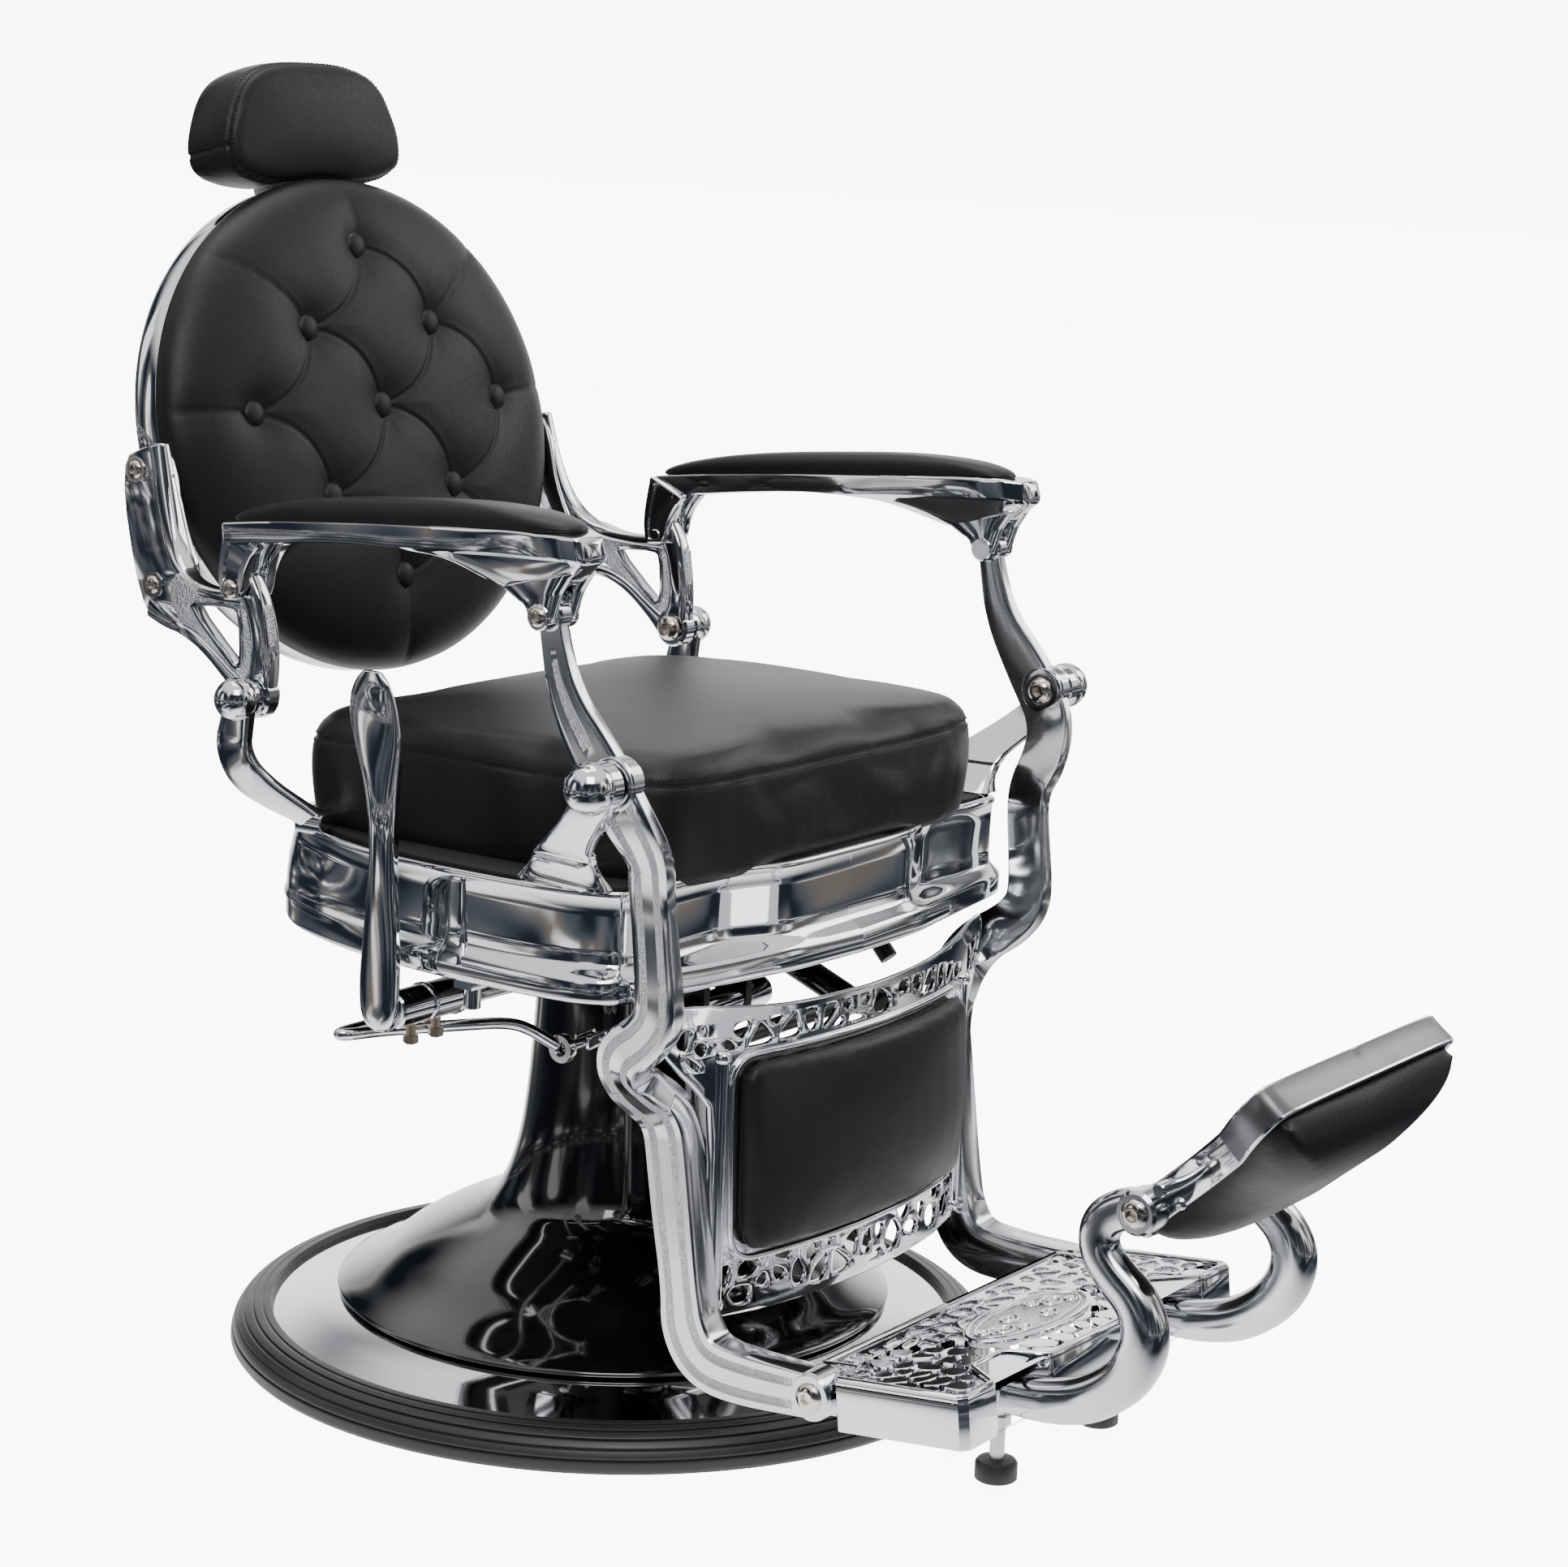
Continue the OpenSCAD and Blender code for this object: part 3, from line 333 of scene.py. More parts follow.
def bolt(shape, side, inner, outer, at, radius, head_x, head_radius, head_height):
    """Adds a bolt along X through a point: a shank, and a socket head that faces away from the chair's middle."""
    shape.add(*cross_rod(side * inner, side * outer, at, radius))
    shape.add(*socket_head((side * head_x, at.y, at.z), (side, 0, 0), head_radius, head_height))


def plate(outlines, depth, bevel, place, slices=0):
    """A flat plate with holes and rounded edges. place maps (a, b, height) to a point; slices cuts strips."""
    curve = bpy.data.curves.new("plate", "CURVE")
    curve.dimensions = "2D"
    curve.fill_mode = "BOTH"
    curve.extrude = depth / 2 - bevel
    curve.bevel_depth = bevel
    curve.bevel_resolution = 1
    curve.offset = -bevel
    for line in outlines:
        spline = curve.splines.new("POLY")
        spline.points.add(len(line) - 1)
        for point, p in zip(spline.points, line):
            point.co = (p[0], p[1], 0, 1)
        spline.use_cyclic_u = True
    obj = bpy.data.objects.new("plate", curve)
    bpy.context.collection.objects.link(obj)
    mesh = bpy.data.meshes.new_from_object(obj.evaluated_get(bpy.context.evaluated_depsgraph_get()))
    bm = bmesh.new()
    bm.from_mesh(mesh)
    bmesh.ops.remove_doubles(bm, verts=bm.verts, dist=0.01)
    if slices:
        across = [v.co.x for v in bm.verts]
        at = min(across) + slices
        while at < max(across):
            bmesh.ops.bisect_plane(bm, geom=bm.verts[:] + bm.edges[:] + bm.faces[:], plane_co=(at, 0, 0),
                                   plane_no=(1, 0, 0))
            at += slices
    bm.verts.index_update()
    verts = [Vector(place(*v.co)) for v in bm.verts]
    faces = [tuple(v.index for v in f.verts) for f in bm.faces]
    bm.free()
    bpy.data.objects.remove(obj)
    bpy.data.curves.remove(curve)
    bpy.data.meshes.remove(mesh)
    return verts, faces


def in_side_plane(x0):
    """Places a plate's outline in the Y-Z plane, centred on x0."""
    return lambda a, b, h: (x0 + h, a, b)


def clip_half(poly, point, normal):
    """Keeps the part of a convex polygon on the near side of a line."""
    out = []
    for p, q in pairs(poly):
        dp, dq = (p - point).dot(normal), (q - point).dot(normal)
        if dp <= 0:
            out.append(p)
        if dp * dq < 0:
            out.append(p.lerp(q, dp / (dp - dq)))
    return out


def twice_area(ring):
    """Twice the signed area of a closed ring, positive when it runs anticlockwise."""
    return sum(p.x * q.y - q.x * p.y for p, q in pairs(ring))


def fretwork(region, pitch, web, seed, keep_out=None, jitter=0.48):
    """Rounded irregular openings that fill a region, parted by webs: cells about jittered points."""
    rng = random.Random(seed)
    xs, ys = zip(*region)
    seeds = []
    row = 0
    b = min(ys) - pitch
    while b < max(ys) + pitch:
        a = min(xs) - pitch + (row % 2) * pitch / 2
        while a < max(xs) + pitch:
            moved = [at + rng.uniform(-jitter, jitter) * pitch for at in (a, b)]
            seeds.append(Vector(moved))
            a += pitch
        b += pitch * 0.82
        row += 1
    region = [Vector(p) for p in region]
    way = 1 if twice_area(region) > 0 else -1
    holes = []
    for s in seeds:
        cell = [s + Vector(d) * pitch * 3 for d in ((-1, -1), (1, -1), (1, 1), (-1, 1))]
        for other in seeds:
            gap = other - s
            if other is not s and gap.length < pitch * 3:
                unit = gap.normalized()
                cell = clip_half(cell, s + gap / 2 - unit * web / 2, unit)
        for p, q in pairs(region):
            along = (q - p).normalized()
            outward = Vector((along.y, -along.x)) * way
            cell = clip_half(cell, p - outward * web * 0.6, outward)
        if keep_out and cell:
            cell = keep_out(cell)
        if len(cell) < 3 or abs(twice_area(cell)) / 2 < (pitch * 0.34) ** 2:
            continue
        ring = [p for p, q in pairs(cell) if (p - q).length > 0.8]
        if len(ring) > 2:
            holes.append(cut_corners(ring, 2, closed=True))
    return holes


def stitches(points, normals, pitch=4.2, length=2.9, radius=0.42):
    """A row of short stitches along a path, each sunk at its ends."""
    shape = Shape()
    total = [0.0]
    for p, q in zip(points, points[1:]):
        total.append(total[-1] + (q - p).length)

    def along(s):
        k = max(i for i in range(len(total)) if total[i] <= s + 1e-9)
        k = min(k, len(points) - 2)
        t = (s - total[k]) / max(total[k + 1] - total[k], 1e-9)
        return points[k].lerp(points[k + 1], t), normals[k]

    s = pitch / 2
    while s < total[-1] - length / 2:
        (a, na), (m, nm), (b, nb) = along(s - length / 2), along(s), along(s + length / 2)
        side = (b - a).normalized().cross(nm).normalized()
        verts = []
        for p in (a - na * radius * 0.8, m + nm * radius * 0.5, b - nb * radius * 0.8):
            verts += [p + side * radius, p + nm * radius, p - side * radius]
        shape.add(verts, [(0, 1, 4, 3), (1, 2, 5, 4), (3, 4, 7, 6), (4, 5, 8, 7), (0, 2, 1), (6, 7, 8)])
        s += pitch
    return shape


def surface_of(obj):
    """A lookup of the nearest point and normal on a piece's final surface, in millimetres."""
    graph = bpy.context.evaluated_depsgraph_get()
    tree = BVHTree.FromObject(obj, graph)

    def nearest(p):
        point, normal, _, _ = tree.find_nearest(Vector(p) * MM)
        return point / MM, normal

    return nearest


def seam(obj, path, name, body, offsets=(3.2,), width=2.2, depth=1.6, closed=False):
    """Presses a seam line into a finished soft piece and sews a row of stitches beside it on each offset."""
    nearest = surface_of(obj)
    line, normals = zip(*[nearest(p) for p in (path + path[:1] if closed else path)])
    for v in obj.data.vertices:
        p = v.co / MM
        best = min(range(len(line)), key=lambda i: (line[i] - p).length_squared)
        gap = min(point_gap(p, line[k], line[k + 1]) for k in (max(best - 1, 0), min(best, len(line) - 2)))
        if gap < width * 3:
            v.co -= normals[best] * depth * math.exp(-(gap / width) ** 2) * MM
    shape = Shape()
    for offset in offsets:
        row = []
        for i, (p, n) in enumerate(zip(line, normals)):
            ahead, behind = line[min(i + 1, len(line) - 1)], line[max(i - 1, 0)]
            row.append(nearest(p + n.cross((ahead - behind).normalized()) * offset))
        part = stitches(*zip(*row))
        shape.add(part.verts, part.faces)
    return shape.put(name, "black_leather", body, mats=["thread"], sharp=0)


def point_gap(p, a, b):
    """Distance from a point to a straight piece of a path."""
    ab = b - a
    return (p - a - ab * clamp((p - a).dot(ab) / max(ab.length_squared, 1e-9))).length


def calm_moves(before, after, held, rounds=34, detail=0.16, most=0.006):
    """Evens out how far the cloth moved, so that leather keeps a trace of its ripples, and caps the movement."""
    count = len(before.vertices)
    start, end = np.empty(count * 3), np.empty(count * 3)
    before.vertices.foreach_get("co", start)
    after.vertices.foreach_get("co", end)
    start = start.reshape(-1, 3)
    moved = end.reshape(-1, 3) - start
    links = np.empty(len(before.edges) * 2, dtype=np.int64)
    before.edges.foreach_get("vertices", links)
    a, b = links.reshape(-1, 2).T
    free = np.array([all(g.group != held for g in v.groups) for v in before.vertices])[:, None]
    near = np.bincount(a, minlength=count) + np.bincount(b, minlength=count) + 1
    even = moved.copy()
    for _ in range(rounds):
        total = even.copy()
        for axis in range(3):
            total[:, axis] += np.bincount(a, even[b, axis], count) + np.bincount(b, even[a, axis], count)
        even = total / near[:, None] * free
    moved = (even + detail * (moved - even)) * free
    length = np.maximum(np.linalg.norm(moved, axis=1), 1e-9)[:, None]
    moved *= np.minimum(1, most / length)
    after.vertices.foreach_set("co", (start + moved).ravel())


def applied(obj, modifier):
    """Replaces a piece's mesh with the result of its last modifier, and keeps its materials."""
    mesh = bpy.data.meshes.new_from_object(obj.evaluated_get(bpy.context.evaluated_depsgraph_get()))
    obj.modifiers.remove(modifier)
    mesh.materials.clear()
    for m in obj.data.materials:
        mesh.materials.append(m)
    return mesh


def puff(obj, voxel=0.005, pressure=3.0, shrink=-0.01, pin=None, frames=20):
    """Inflates a soft piece as cloth: even remesh, outward pressure with no gravity, then a smooth finish."""
    bpy.context.view_layer.objects.active = obj
    rest = obj.modifiers.new("even", "REMESH")
    rest.mode = "VOXEL"
    rest.voxel_size = voxel
    obj.data = applied(obj, rest)
    group = obj.vertex_groups.new(name="held")
    group.add([v.index for v in obj.data.vertices if pin(v.co / MM)], 1.0, "REPLACE")
    cloth = obj.modifiers.new("cloth", "CLOTH")
    cloth.settings.use_pressure = True
    cloth.settings.uniform_pressure_force = pressure
    cloth.settings.shrink_min = shrink
    cloth.settings.tension_stiffness = cloth.settings.compression_stiffness = 25
    cloth.settings.bending_stiffness = 4
    cloth.settings.effector_weights.gravity = 0
    cloth.settings.vertex_group_mass = "held"
    cloth.settings.quality = 6
    cloth.point_cache.frame_start, cloth.point_cache.frame_end = 1, frames
    for f in range(1, frames + 1):
        bpy.context.scene.frame_set(f)
    soft = applied(obj, cloth)
    calm_moves(obj.data, soft, group.index)
    obj.data = soft
    bpy.context.scene.frame_set(1)
    finish = obj.modifiers.new("finish", "SUBSURF")
    finish.levels = finish.render_levels = 1
    obj.data = applied(obj, finish)
    obj.data.shade_smooth()


def rings_to_mesh(rings, close_start=True, close_end=True):
    """Joins equal closed rings of points into a skin, with fans over the ends."""
    n = len(rings[0])
    verts = [v for r in rings for v in r]
    faces = [face for j in range(len(rings) - 1) for face in band(n, j)]
    for wanted, base in ((close_start, 0), (close_end, len(rings) - 1)):
        if wanted:
            verts.append(sum((Vector(v) for v in rings[base]), Vector()) / n)
            faces += [(base * n + i, base * n + (i + 1) % n, len(verts) - 1) for i in range(n)]
    return verts, faces


def inset(ring, amount):
    """Moves a closed 2-D ring inwards by an amount, or outwards if it is negative."""
    way = 1 if twice_area(ring) > 0 else -1
    out = []
    for i, (b, c) in enumerate(pairs(ring)):
        a = ring[i - 1]
        d1 = b - a if (b - a).length > 1e-6 else c - a
        d2 = c - b if (c - b).length > 1e-6 else d1
        mean = d1.normalized() + d2.normalized()
        normal = Vector((-mean.y, mean.x)).normalized() * way
        sharp = max(0.5, math.sqrt(max(0.0, (1 + d1.normalized().dot(d2.normalized())) / 2)))
        out.append(b + normal * amount / sharp)
    return out


def both_sides(half):
    """Completes a half outline, front to rear at x > 0, on the other side."""
    return [Vector(p) for p in half] + [Vector((-p[0], p[1])) for p in reversed(half)]


def interpolate(table, at):
    """Straight-line lookup in (key, value) pairs sorted by key."""
    if at <= table[0][0]:
        return table[0][1]
    for (a, va), (b, vb) in zip(table, table[1:]):
        if at <= b:
            return va + (vb - va) * (at - a) / (b - a)
    return table[-1][1]


# ---------- base ----------

BASE_STEPS = 160


def make_base():
    ring_r, ring_h = box("rubber_ring")[1].x, box("rubber_ring")[1].z
    grooves = (0.16, 0.34, 0.52, 0.70, 0.86)
    outer = []
    for t in [k / 90 for k in range(91)]:
        angle = t * math.pi / 2
        cut = sum(1.7 * math.exp(-((t - g) / 0.016) ** 2) for g in grooves)
        outer.append((ring_r - 34 * (1 - math.cos(angle)) - cut,
                      4 + (ring_h - 4.5) * math.sin(angle) ** 0.9 - cut * 0.6))
    ring = [(305, 0.2), (ring_r - 3, 0.2)] + outer + [(ring_r - 35, 28), (307, 23), (305, 21)]
    disc = [(307.5, 22.2), (307.8, 25.4), (296, 27.6), (262, 37.5), (243, 43.4), (226, 46), (97, 46), (97, 42.6),
            (224, 42.6), (241, 40), (296, 23)]
    neck_top = box("bell_cover")[1].z
    bell = [(228, 46.4), (236, 46.4), (239, 47.6), (239, 50.2), (236, 52.4), (229, 57), (202, 71.5), (176, 93),
            (138, 113), (108, 126), (97, 142), (91, 158), (84, 185), (79, 225), (75.5, 270), (73.5, neck_top - 20),
            (73.5, neck_top - 2), (71, neck_top), (34, neck_top)]
    turned = [Shape().add(*lathe(profile, BASE_STEPS, closed=closed))
              for profile, closed in ((ring, True), (disc, True), (cut_corners(bell, 2), False))]
    turned[0].put("rubber_ring_skin", "black_rubber", "base", ["rubber_ring"])
    turned[1].put("base_disc_skin", "polished_chrome", "base", ["base_disc"], mats=["pressed_chrome"])
    turned[2].put("bell_skin", "black_gloss", "base", ["bell_cover"])


# ---------- seat ----------

FRAME_HALF = [(0, -230), (70, -229.5), (96, -226), (120, -216), (142, -207.5), (166, -204.5), (258, -204),
              (270, -196), (284, -160), (290, -100), (290, -10), (283, 40), (266, 104), (240, 158), (200, 190),
              (150, 204), (0, 208)]
LIP_HALF = [(0, -246), (70, -243), (100, -240), (130, -234), (160, -229), (200, -222), (262, -212), (284, -199),
            (298, -160), (299, -60), (296, 0), (290, 42), (274, 104), (246, 164), (206, 198), (150, 212), (0, 216)]
CUSHION_HALF = [(0, -222), (120, -221), (196, -214), (226, -190), (239, -132), (243, -20), (243, 76), (237, 138),
                (208, 167), (144, 176), (0, 178)]


def make_seat_frame():
    top, bottom = box("seat_frame")[1].z, box("seat_frame")[0].z
    upper = cut_corners(both_sides(FRAME_HALF), 3, closed=True)
    lip = cut_corners(both_sides(LIP_HALF), 3, closed=True)
    # height, share of the lip outline at the front, share at the rear, outward offset
    levels = [(bottom + 20, 0, 0, -8.5), (top - 4, 0, 0, -8), (top - 0.8, 0, 0, -6.4), (top, 0, 0, -4),
              (top, 0, 0, 0.2), (top - 1, 0, 0, 1.7), (top - 3.2, 0, 0.05, 2.2), (top - 5.2, 0, 0.1, 1.6),
              (top - 6.6, 0, 0.15, 0.2), (top - 20, 0, 0.5, -0.4), (top - 32, 0, 0.8, -0.8),
              (top - 46, 0, 1, -0.9), (bottom + 31, 0, 1, -0.6), (bottom + 28, 0.06, 1, 0.2), (bottom + 25.5, 0.2, 1, 1.3),
              (bottom + 23, 0.42, 1, 1.6), (bottom + 21, 0.66, 1, 1.0), (bottom + 19, 0.86, 1, 0.5),
              (bottom + 16, 1, 1, 0), (bottom + 6, 1, 1, 0), (bottom + 2.4, 1, 0.95, -0.6),
              (bottom + 0.6, 1, 0.9, -2.2), (bottom + 0.4, 1, 0.85, -6), (bottom + 4, 0.7, 0.6, -9),
              (bottom + 20, 0, 0, -8.5)]
    rings = []
    for z, front, rear, out in levels:
        ring = []
        for a, b in zip(upper, lip):
            blend = clamp((a.y - 10) / 90)
            ring.append(a.lerp(b, front * (1 - blend) + rear * blend))
        rings.append([(p.x, p.y, z) for p in inset(ring, -out)])
    shape = Shape().add(*rings_to_mesh(rings, False, False))
    rib = [(top - 8, 287.5, 9), (bottom + 46, 287.5, 9), (bottom + 32, 288.5, 10), (bottom + 27, 290, 12),
           (bottom + 20, 294, 14), (bottom + 14, 296, 14)]
    for side in SIDES.values():
        shape.add(*tower([(z, side * x, -58, 4.5, half, 0) for z, x, half in rib], 2, 4))
    shape.put("seat_frame_skin", "polished_chrome", "seat", ["seat_frame"], sharp=50)


def make_cushion():
    bottom = box("seat_cushion")[0].z
    plan = cut_corners(both_sides(CUSHION_HALF), 3, closed=True)
    seam_z, crown = 544, 570

    def drop_rear(y, z):
        """Heights with the top sinking a little towards the backrest."""
        return z - 8 * clamp((y - 20) / 160) ** 1.4 * clamp((z - bottom) / 74)

    levels = [(bottom - 9, 14), (bottom - 8, 6), (bottom - 4, 2), (bottom + 12, 0), (bottom + 42, -1.2),
              (seam_z - 14, -0.6),
              (seam_z, 1.6), (seam_z + 6, 4.6), (seam_z + 11, 9.5), (seam_z + 14.5, 17), (seam_z + 17, 28)]
    rings = [[(p.x, p.y, z) for p in inset(plan, d)] for z, d in levels]
    centre = Vector((0, -22))
    spokes = [p - centre for p in inset(plan, levels[-1][1])]
    for k in range(1, 12):
        s = 1 - k / 12
        ring = [centre + s * (spoke.normalized() * 196).lerp(spoke, s) for spoke in spokes]
        rings.append([(q.x, q.y, crown - (crown - levels[-1][0]) * s ** 2.6) for q in ring])
    rings = [[(x, y, drop_rear(y, z)) for x, y, z in ring] for ring in rings]
    obj = Shape().add(*rings_to_mesh(rings)).put("seat_cushion_soft", "black_leather", "seat", ["seat_cushion"])
    puff(obj, 0.006, shrink=-0.04, pin=lambda p: p.z < bottom + 9)
    line = [(p.x, p.y, drop_rear(p.y, seam_z)) for p in inset(plan, 0.5)]
    seam(obj, line, "seat_cushion_stitches", "seat", offsets=(-3.0, 3.0), closed=True)


def tower(levels, rounds=2, power=4.0, ends=1.5):
    """Stacks sections (z, centre x, centre y, half x, half y, turn in degrees), with soft top and bottom."""
    dense = cut_corners([Vector(v) for v in levels], rounds)
    outline = squircle(28, power)
    way = 1 if dense[-1][0] > dense[0][0] else -1
    stack = [(dense[0], -ends * way, 0.9)] + [(v, 0, 1) for v in dense] + [(dense[-1], ends * way, 0.9)]
    rings = []
    for v, shift, scale in stack:
        c, s = math.cos(math.radians(v[5])), math.sin(math.radians(v[5]))
        ring = []
        for a, b in outline:
            x, y = a * v[3] * scale, b * v[4] * scale
            ring.append((v[1] + x * c - y * s, v[2] + x * s + y * c, v[0] + shift))
        rings.append(ring)
    return rings_to_mesh(rings)


def make_supports(name, side):
    front, rear = anchor("leg_swing"), anchor("recline")
    top = box("seat_frame")[1].z
    bracket = Shape()
    # a bell-shaped tower: broad foot, a ridge low down, hollow flanks up to the ball
    bracket.add(*tower([(top + 1, 273, -152, 13, 42, 0), (top + 4, 274, -152, 11, 41, 0),
                        (top + 12, 278, -155, 8.5, 35, 2), (top + 22, 285, -160, 7.5, 30, 4),
                        (top + 27, 289, -163, 8.6, 29, 4),
                        (top + 31, 291, -166, 7, 27, 5), (top + 42, 299, -178, 6.5, 24.5, 6),
                        (top + 56, 309, -194, 6.5, 22.5, 8), (top + 70, 319, -208, 6.5, 20.5, 8),
                        (top + 84, 325, -219, 6.5, 19, 8), (front.z, 327, front.y, 6.5, 18, 8)], 2, 5))
    bracket.add(*ball((338, front.y, front.z), 20))
    bracket.add(*cross_rod(318, 334, front, 18.5, 32, 2))
    bracket.put(f"front_bracket_{name}_skin", "polished_chrome", "seat", [f"front_bracket_{name}"], side)
    arm = Shape()
    arm.add(*sweep([(299, rear.y, rear.z + 4, 7, 14.5), (299, 168, 556, 6.5, 15.5), (299.5, 172, 536, 6, 17.5),
                    (295, 164, 514, 6, 16.5), (280, 148, 497, 5.6, 12.5), (264, 132, 484, 5.6, 9.8),
                    (251, 122, top + 3, 6.5, 9.8)], X, ends=3))
    arm.add(*ball((305, rear.y, rear.z), 17.6))
    arm.add(*cross_rod(291.4, 303, rear, 15.4, 32, 1.5))
    arm.add(*sweep([(249, 112, top + 3.4, 9, 14), (249, 138, top + 3.4, 9, 14)], Z, ends=2, rounds=1))
    arm.add(*ball((240, 116, top + 6), 6))
    arm.put(f"rear_arm_{name}_skin", "polished_chrome", "seat", [f"rear_arm_{name}"], side)


def make_pivot_screws():
    shape = Shape()
    for side in SIDES.values():
        for joint, inner, head, outer in (("leg_swing", 296, 297.6, 340), ("recline", 268, 269.5, 308)):
            at = anchor(joint)
            shape.add(*cross_rod(side * inner, side * outer, at, 6))
            shape.add(*socket_head((side * head, at.y, at.z), (-side, 0, 0), 12, 8))
    shape.put("pivot_screws_skin", "nickel_screw", "seat", ["pivot_screws"])


# ---------- levers ----------

def make_pump_lever():
    shaft = anchor("pump_swing")
    x = shaft.x
    # height, centre, half thickness and half width, and the twist of the blade in degrees
    blade = [(337, x, -7, 4, 7, 0), (340, x, -6, 7.5, 13, 0), (350, x, -5, 9, 17.5, 0), (372, x, -5, 9.5, 18.5, 2),
             (405, x - 1, -7, 9.5, 16.5, 6), (440, x - 2, -8.5, 10, 13, 14), (472, x - 2, -9, 10.5, 11, 22),
             (505, x - 2, -8.5, 10.5, 11.5, 26), (535, x - 1, -6, 9.5, 14.5, 22), (560, x, -1, 7.5, 19.5, 14),
             (582, x + 1, 5, 6, 22.5, 8), (600, x + 1, 8, 5, 21.5, 4), (612, x + 1, 8, 4.4, 17, 0),
             (619, x + 1, 8, 3.4, 10, 0)]
    shape = Shape().add(*tower(blade, 3, 2.4, 1))
    shape.put("pump_lever_skin", "polished_chrome", "pump_lever", ["pump_lever"], sub=1)
    sleeve = Shape().add(*cross_rod(x + 6, x + 82, shaft, 15, 36, 1.5))
    for ring_x in (x + 44, x + 80):
        sleeve.add(*lathe([(13, -2.4), (15.8, -2.4), (16.4, -1.6), (16.4, 1.6), (15.8, 2.4), (13, 2.4)], 36,
                          (ring_x, shaft.y, shaft.z), "X", True))
    sleeve.put("pump_sleeve_skin", "polished_chrome", "pump_lever")
    screws = Shape()
    for sx in (x + 30, x + 60):
        screws.add(*rod((sx, shaft.y, shaft.z - 25), (sx, shaft.y, shaft.z - 14.6), 4))
        screws.add(*lathe([(0.01, 0), (5, 0), (6.4, 1), (6.4, 7), (0.01, 7)], 6, (sx, shaft.y, shaft.z - 31)))
    screws.put("set_screws_skin", "brass_screw", "pump_lever", ["set_screws"])


def make_recline_lever():
    pin = anchor("recline_trigger")
    # a hairpin: out to the right, round its tip, and back to an eye on the link rod
    line = [pin, (-160, 40, 323.5), (-240, 43, 322.5), (-290, 47.5, 322), (-306, 47, 322), (-309, 44, 321.6),
            (-300, 38, 321.5), (-270, 26, 321.5), (-220, -8, 322), (-186, -30, 321.5), (-172, -42, 314),
            (-160, -58, 302)]
    shape = Shape().add(*sweep([(*p, 5, 5) for p in line], Z, squircle_section(14, 2), ends=2))
    eye = Vector((-158, -62, 300))
    shape.add(*lathe([(6.4, -4), (11.4, -4), (12, -3), (12, 3), (11.4, 4), (6.4, 4)], 32, eye, "X", True))
    shape.add(*cross_rod(-154, -120, eye, 4.4))
    for y in (-68, -56):
        shape.add(*sweep([(-132, y, 300, 2, 6), (-110, y, 302, 2, 6)], Y, ends=2, rounds=1))
    shape.add(*rod((-116, -72, 302), (-116, -52, 302), 3.4))
    shape.add(*rod((pin.x, pin.y - 13, pin.z), (pin.x, pin.y + 13, pin.z), 11, 32, 1.5))
    shape.put("recline_lever_skin", "polished_chrome", "recline_lever", ["recline_lever"])


# ---------- backrest ----------

BACK_TILT = math.radians(12.4)
BACK_MID = Vector((0, 295, 785))
MID_UP = -14
PAD_W, PAD_H = 243, 217
PITCH = 158
ROWS = [(1, 140), (2, 70), (3, 0), (2, -75), (1, -150)]
BUTTONS = [((i - (count - 1) / 2) * PITCH, height - MID_UP) for count, height in ROWS for i in range(count)]


def on_back(x, depth, up):
    """A point of the backrest: across, into the back, and along its slope."""
    c, s = math.cos(BACK_TILT), math.sin(BACK_TILT)
    up += MID_UP
    return BACK_MID + Vector((x, depth * c + up * s, -depth * s + up * c))


def back_ring(width, height, around, depth):
    """An oval ring of the backrest. The depth is a number, or a function of x and z."""
    ring = [(width * c, height * s) for c, s in circle(around)]
    return [on_back(x, depth(x, z) if callable(depth) else depth, z) for x, z in ring]


def curve_between(a, middle, b):
    """A smooth curve from a to b that is pulled towards the middle point."""
    return [a.lerp(middle, t).lerp(middle.lerp(b, t), t) for t in [k / 12 for k in range(13)]]


def fold(a, b):
    """A fold between two buttons: it bows towards +X, flat at one end and steep at the other."""
    a, b = Vector(a), Vector(b)
    corner = Vector((b.x, a.y)) if b.x > a.x else Vector((a.x, b.y))
    return curve_between(a, ((a + b) / 2).lerp(corner, 0.62), b)


def back_folds():
    """Folds between the buttons of neighbouring rows, and from the outer buttons to the rim."""
    folds = []
    for i, (x, z) in enumerate(BUTTONS):
        for x2, z2 in BUTTONS[i + 1:]:
            if 40 < z - z2 < 95 and 20 < abs(x - x2) < PITCH * 0.6:
                folds.append(fold((x, z), (x2, z2)))
    # button, the point its fold is pulled to, and where that fold meets the rim
    ends = [(0, (4, 185), (8, PAD_H)), (1, (-108, 128), (-190, 160)), (2, (104, 108), (170, 156)),
            (3, (-195, 20), (-PAD_W, 20)), (5, (195, 18), (PAD_W, 22)), (6, (-110, -90), (-190, -128)),
            (7, (110, -90), (190, -128)), (8, (2, -175), (-1, -PAD_H))]
    return folds + [curve_between(Vector(BUTTONS[i]), Vector(mid), Vector(rim) * 1.02) for i, mid, rim in ends]


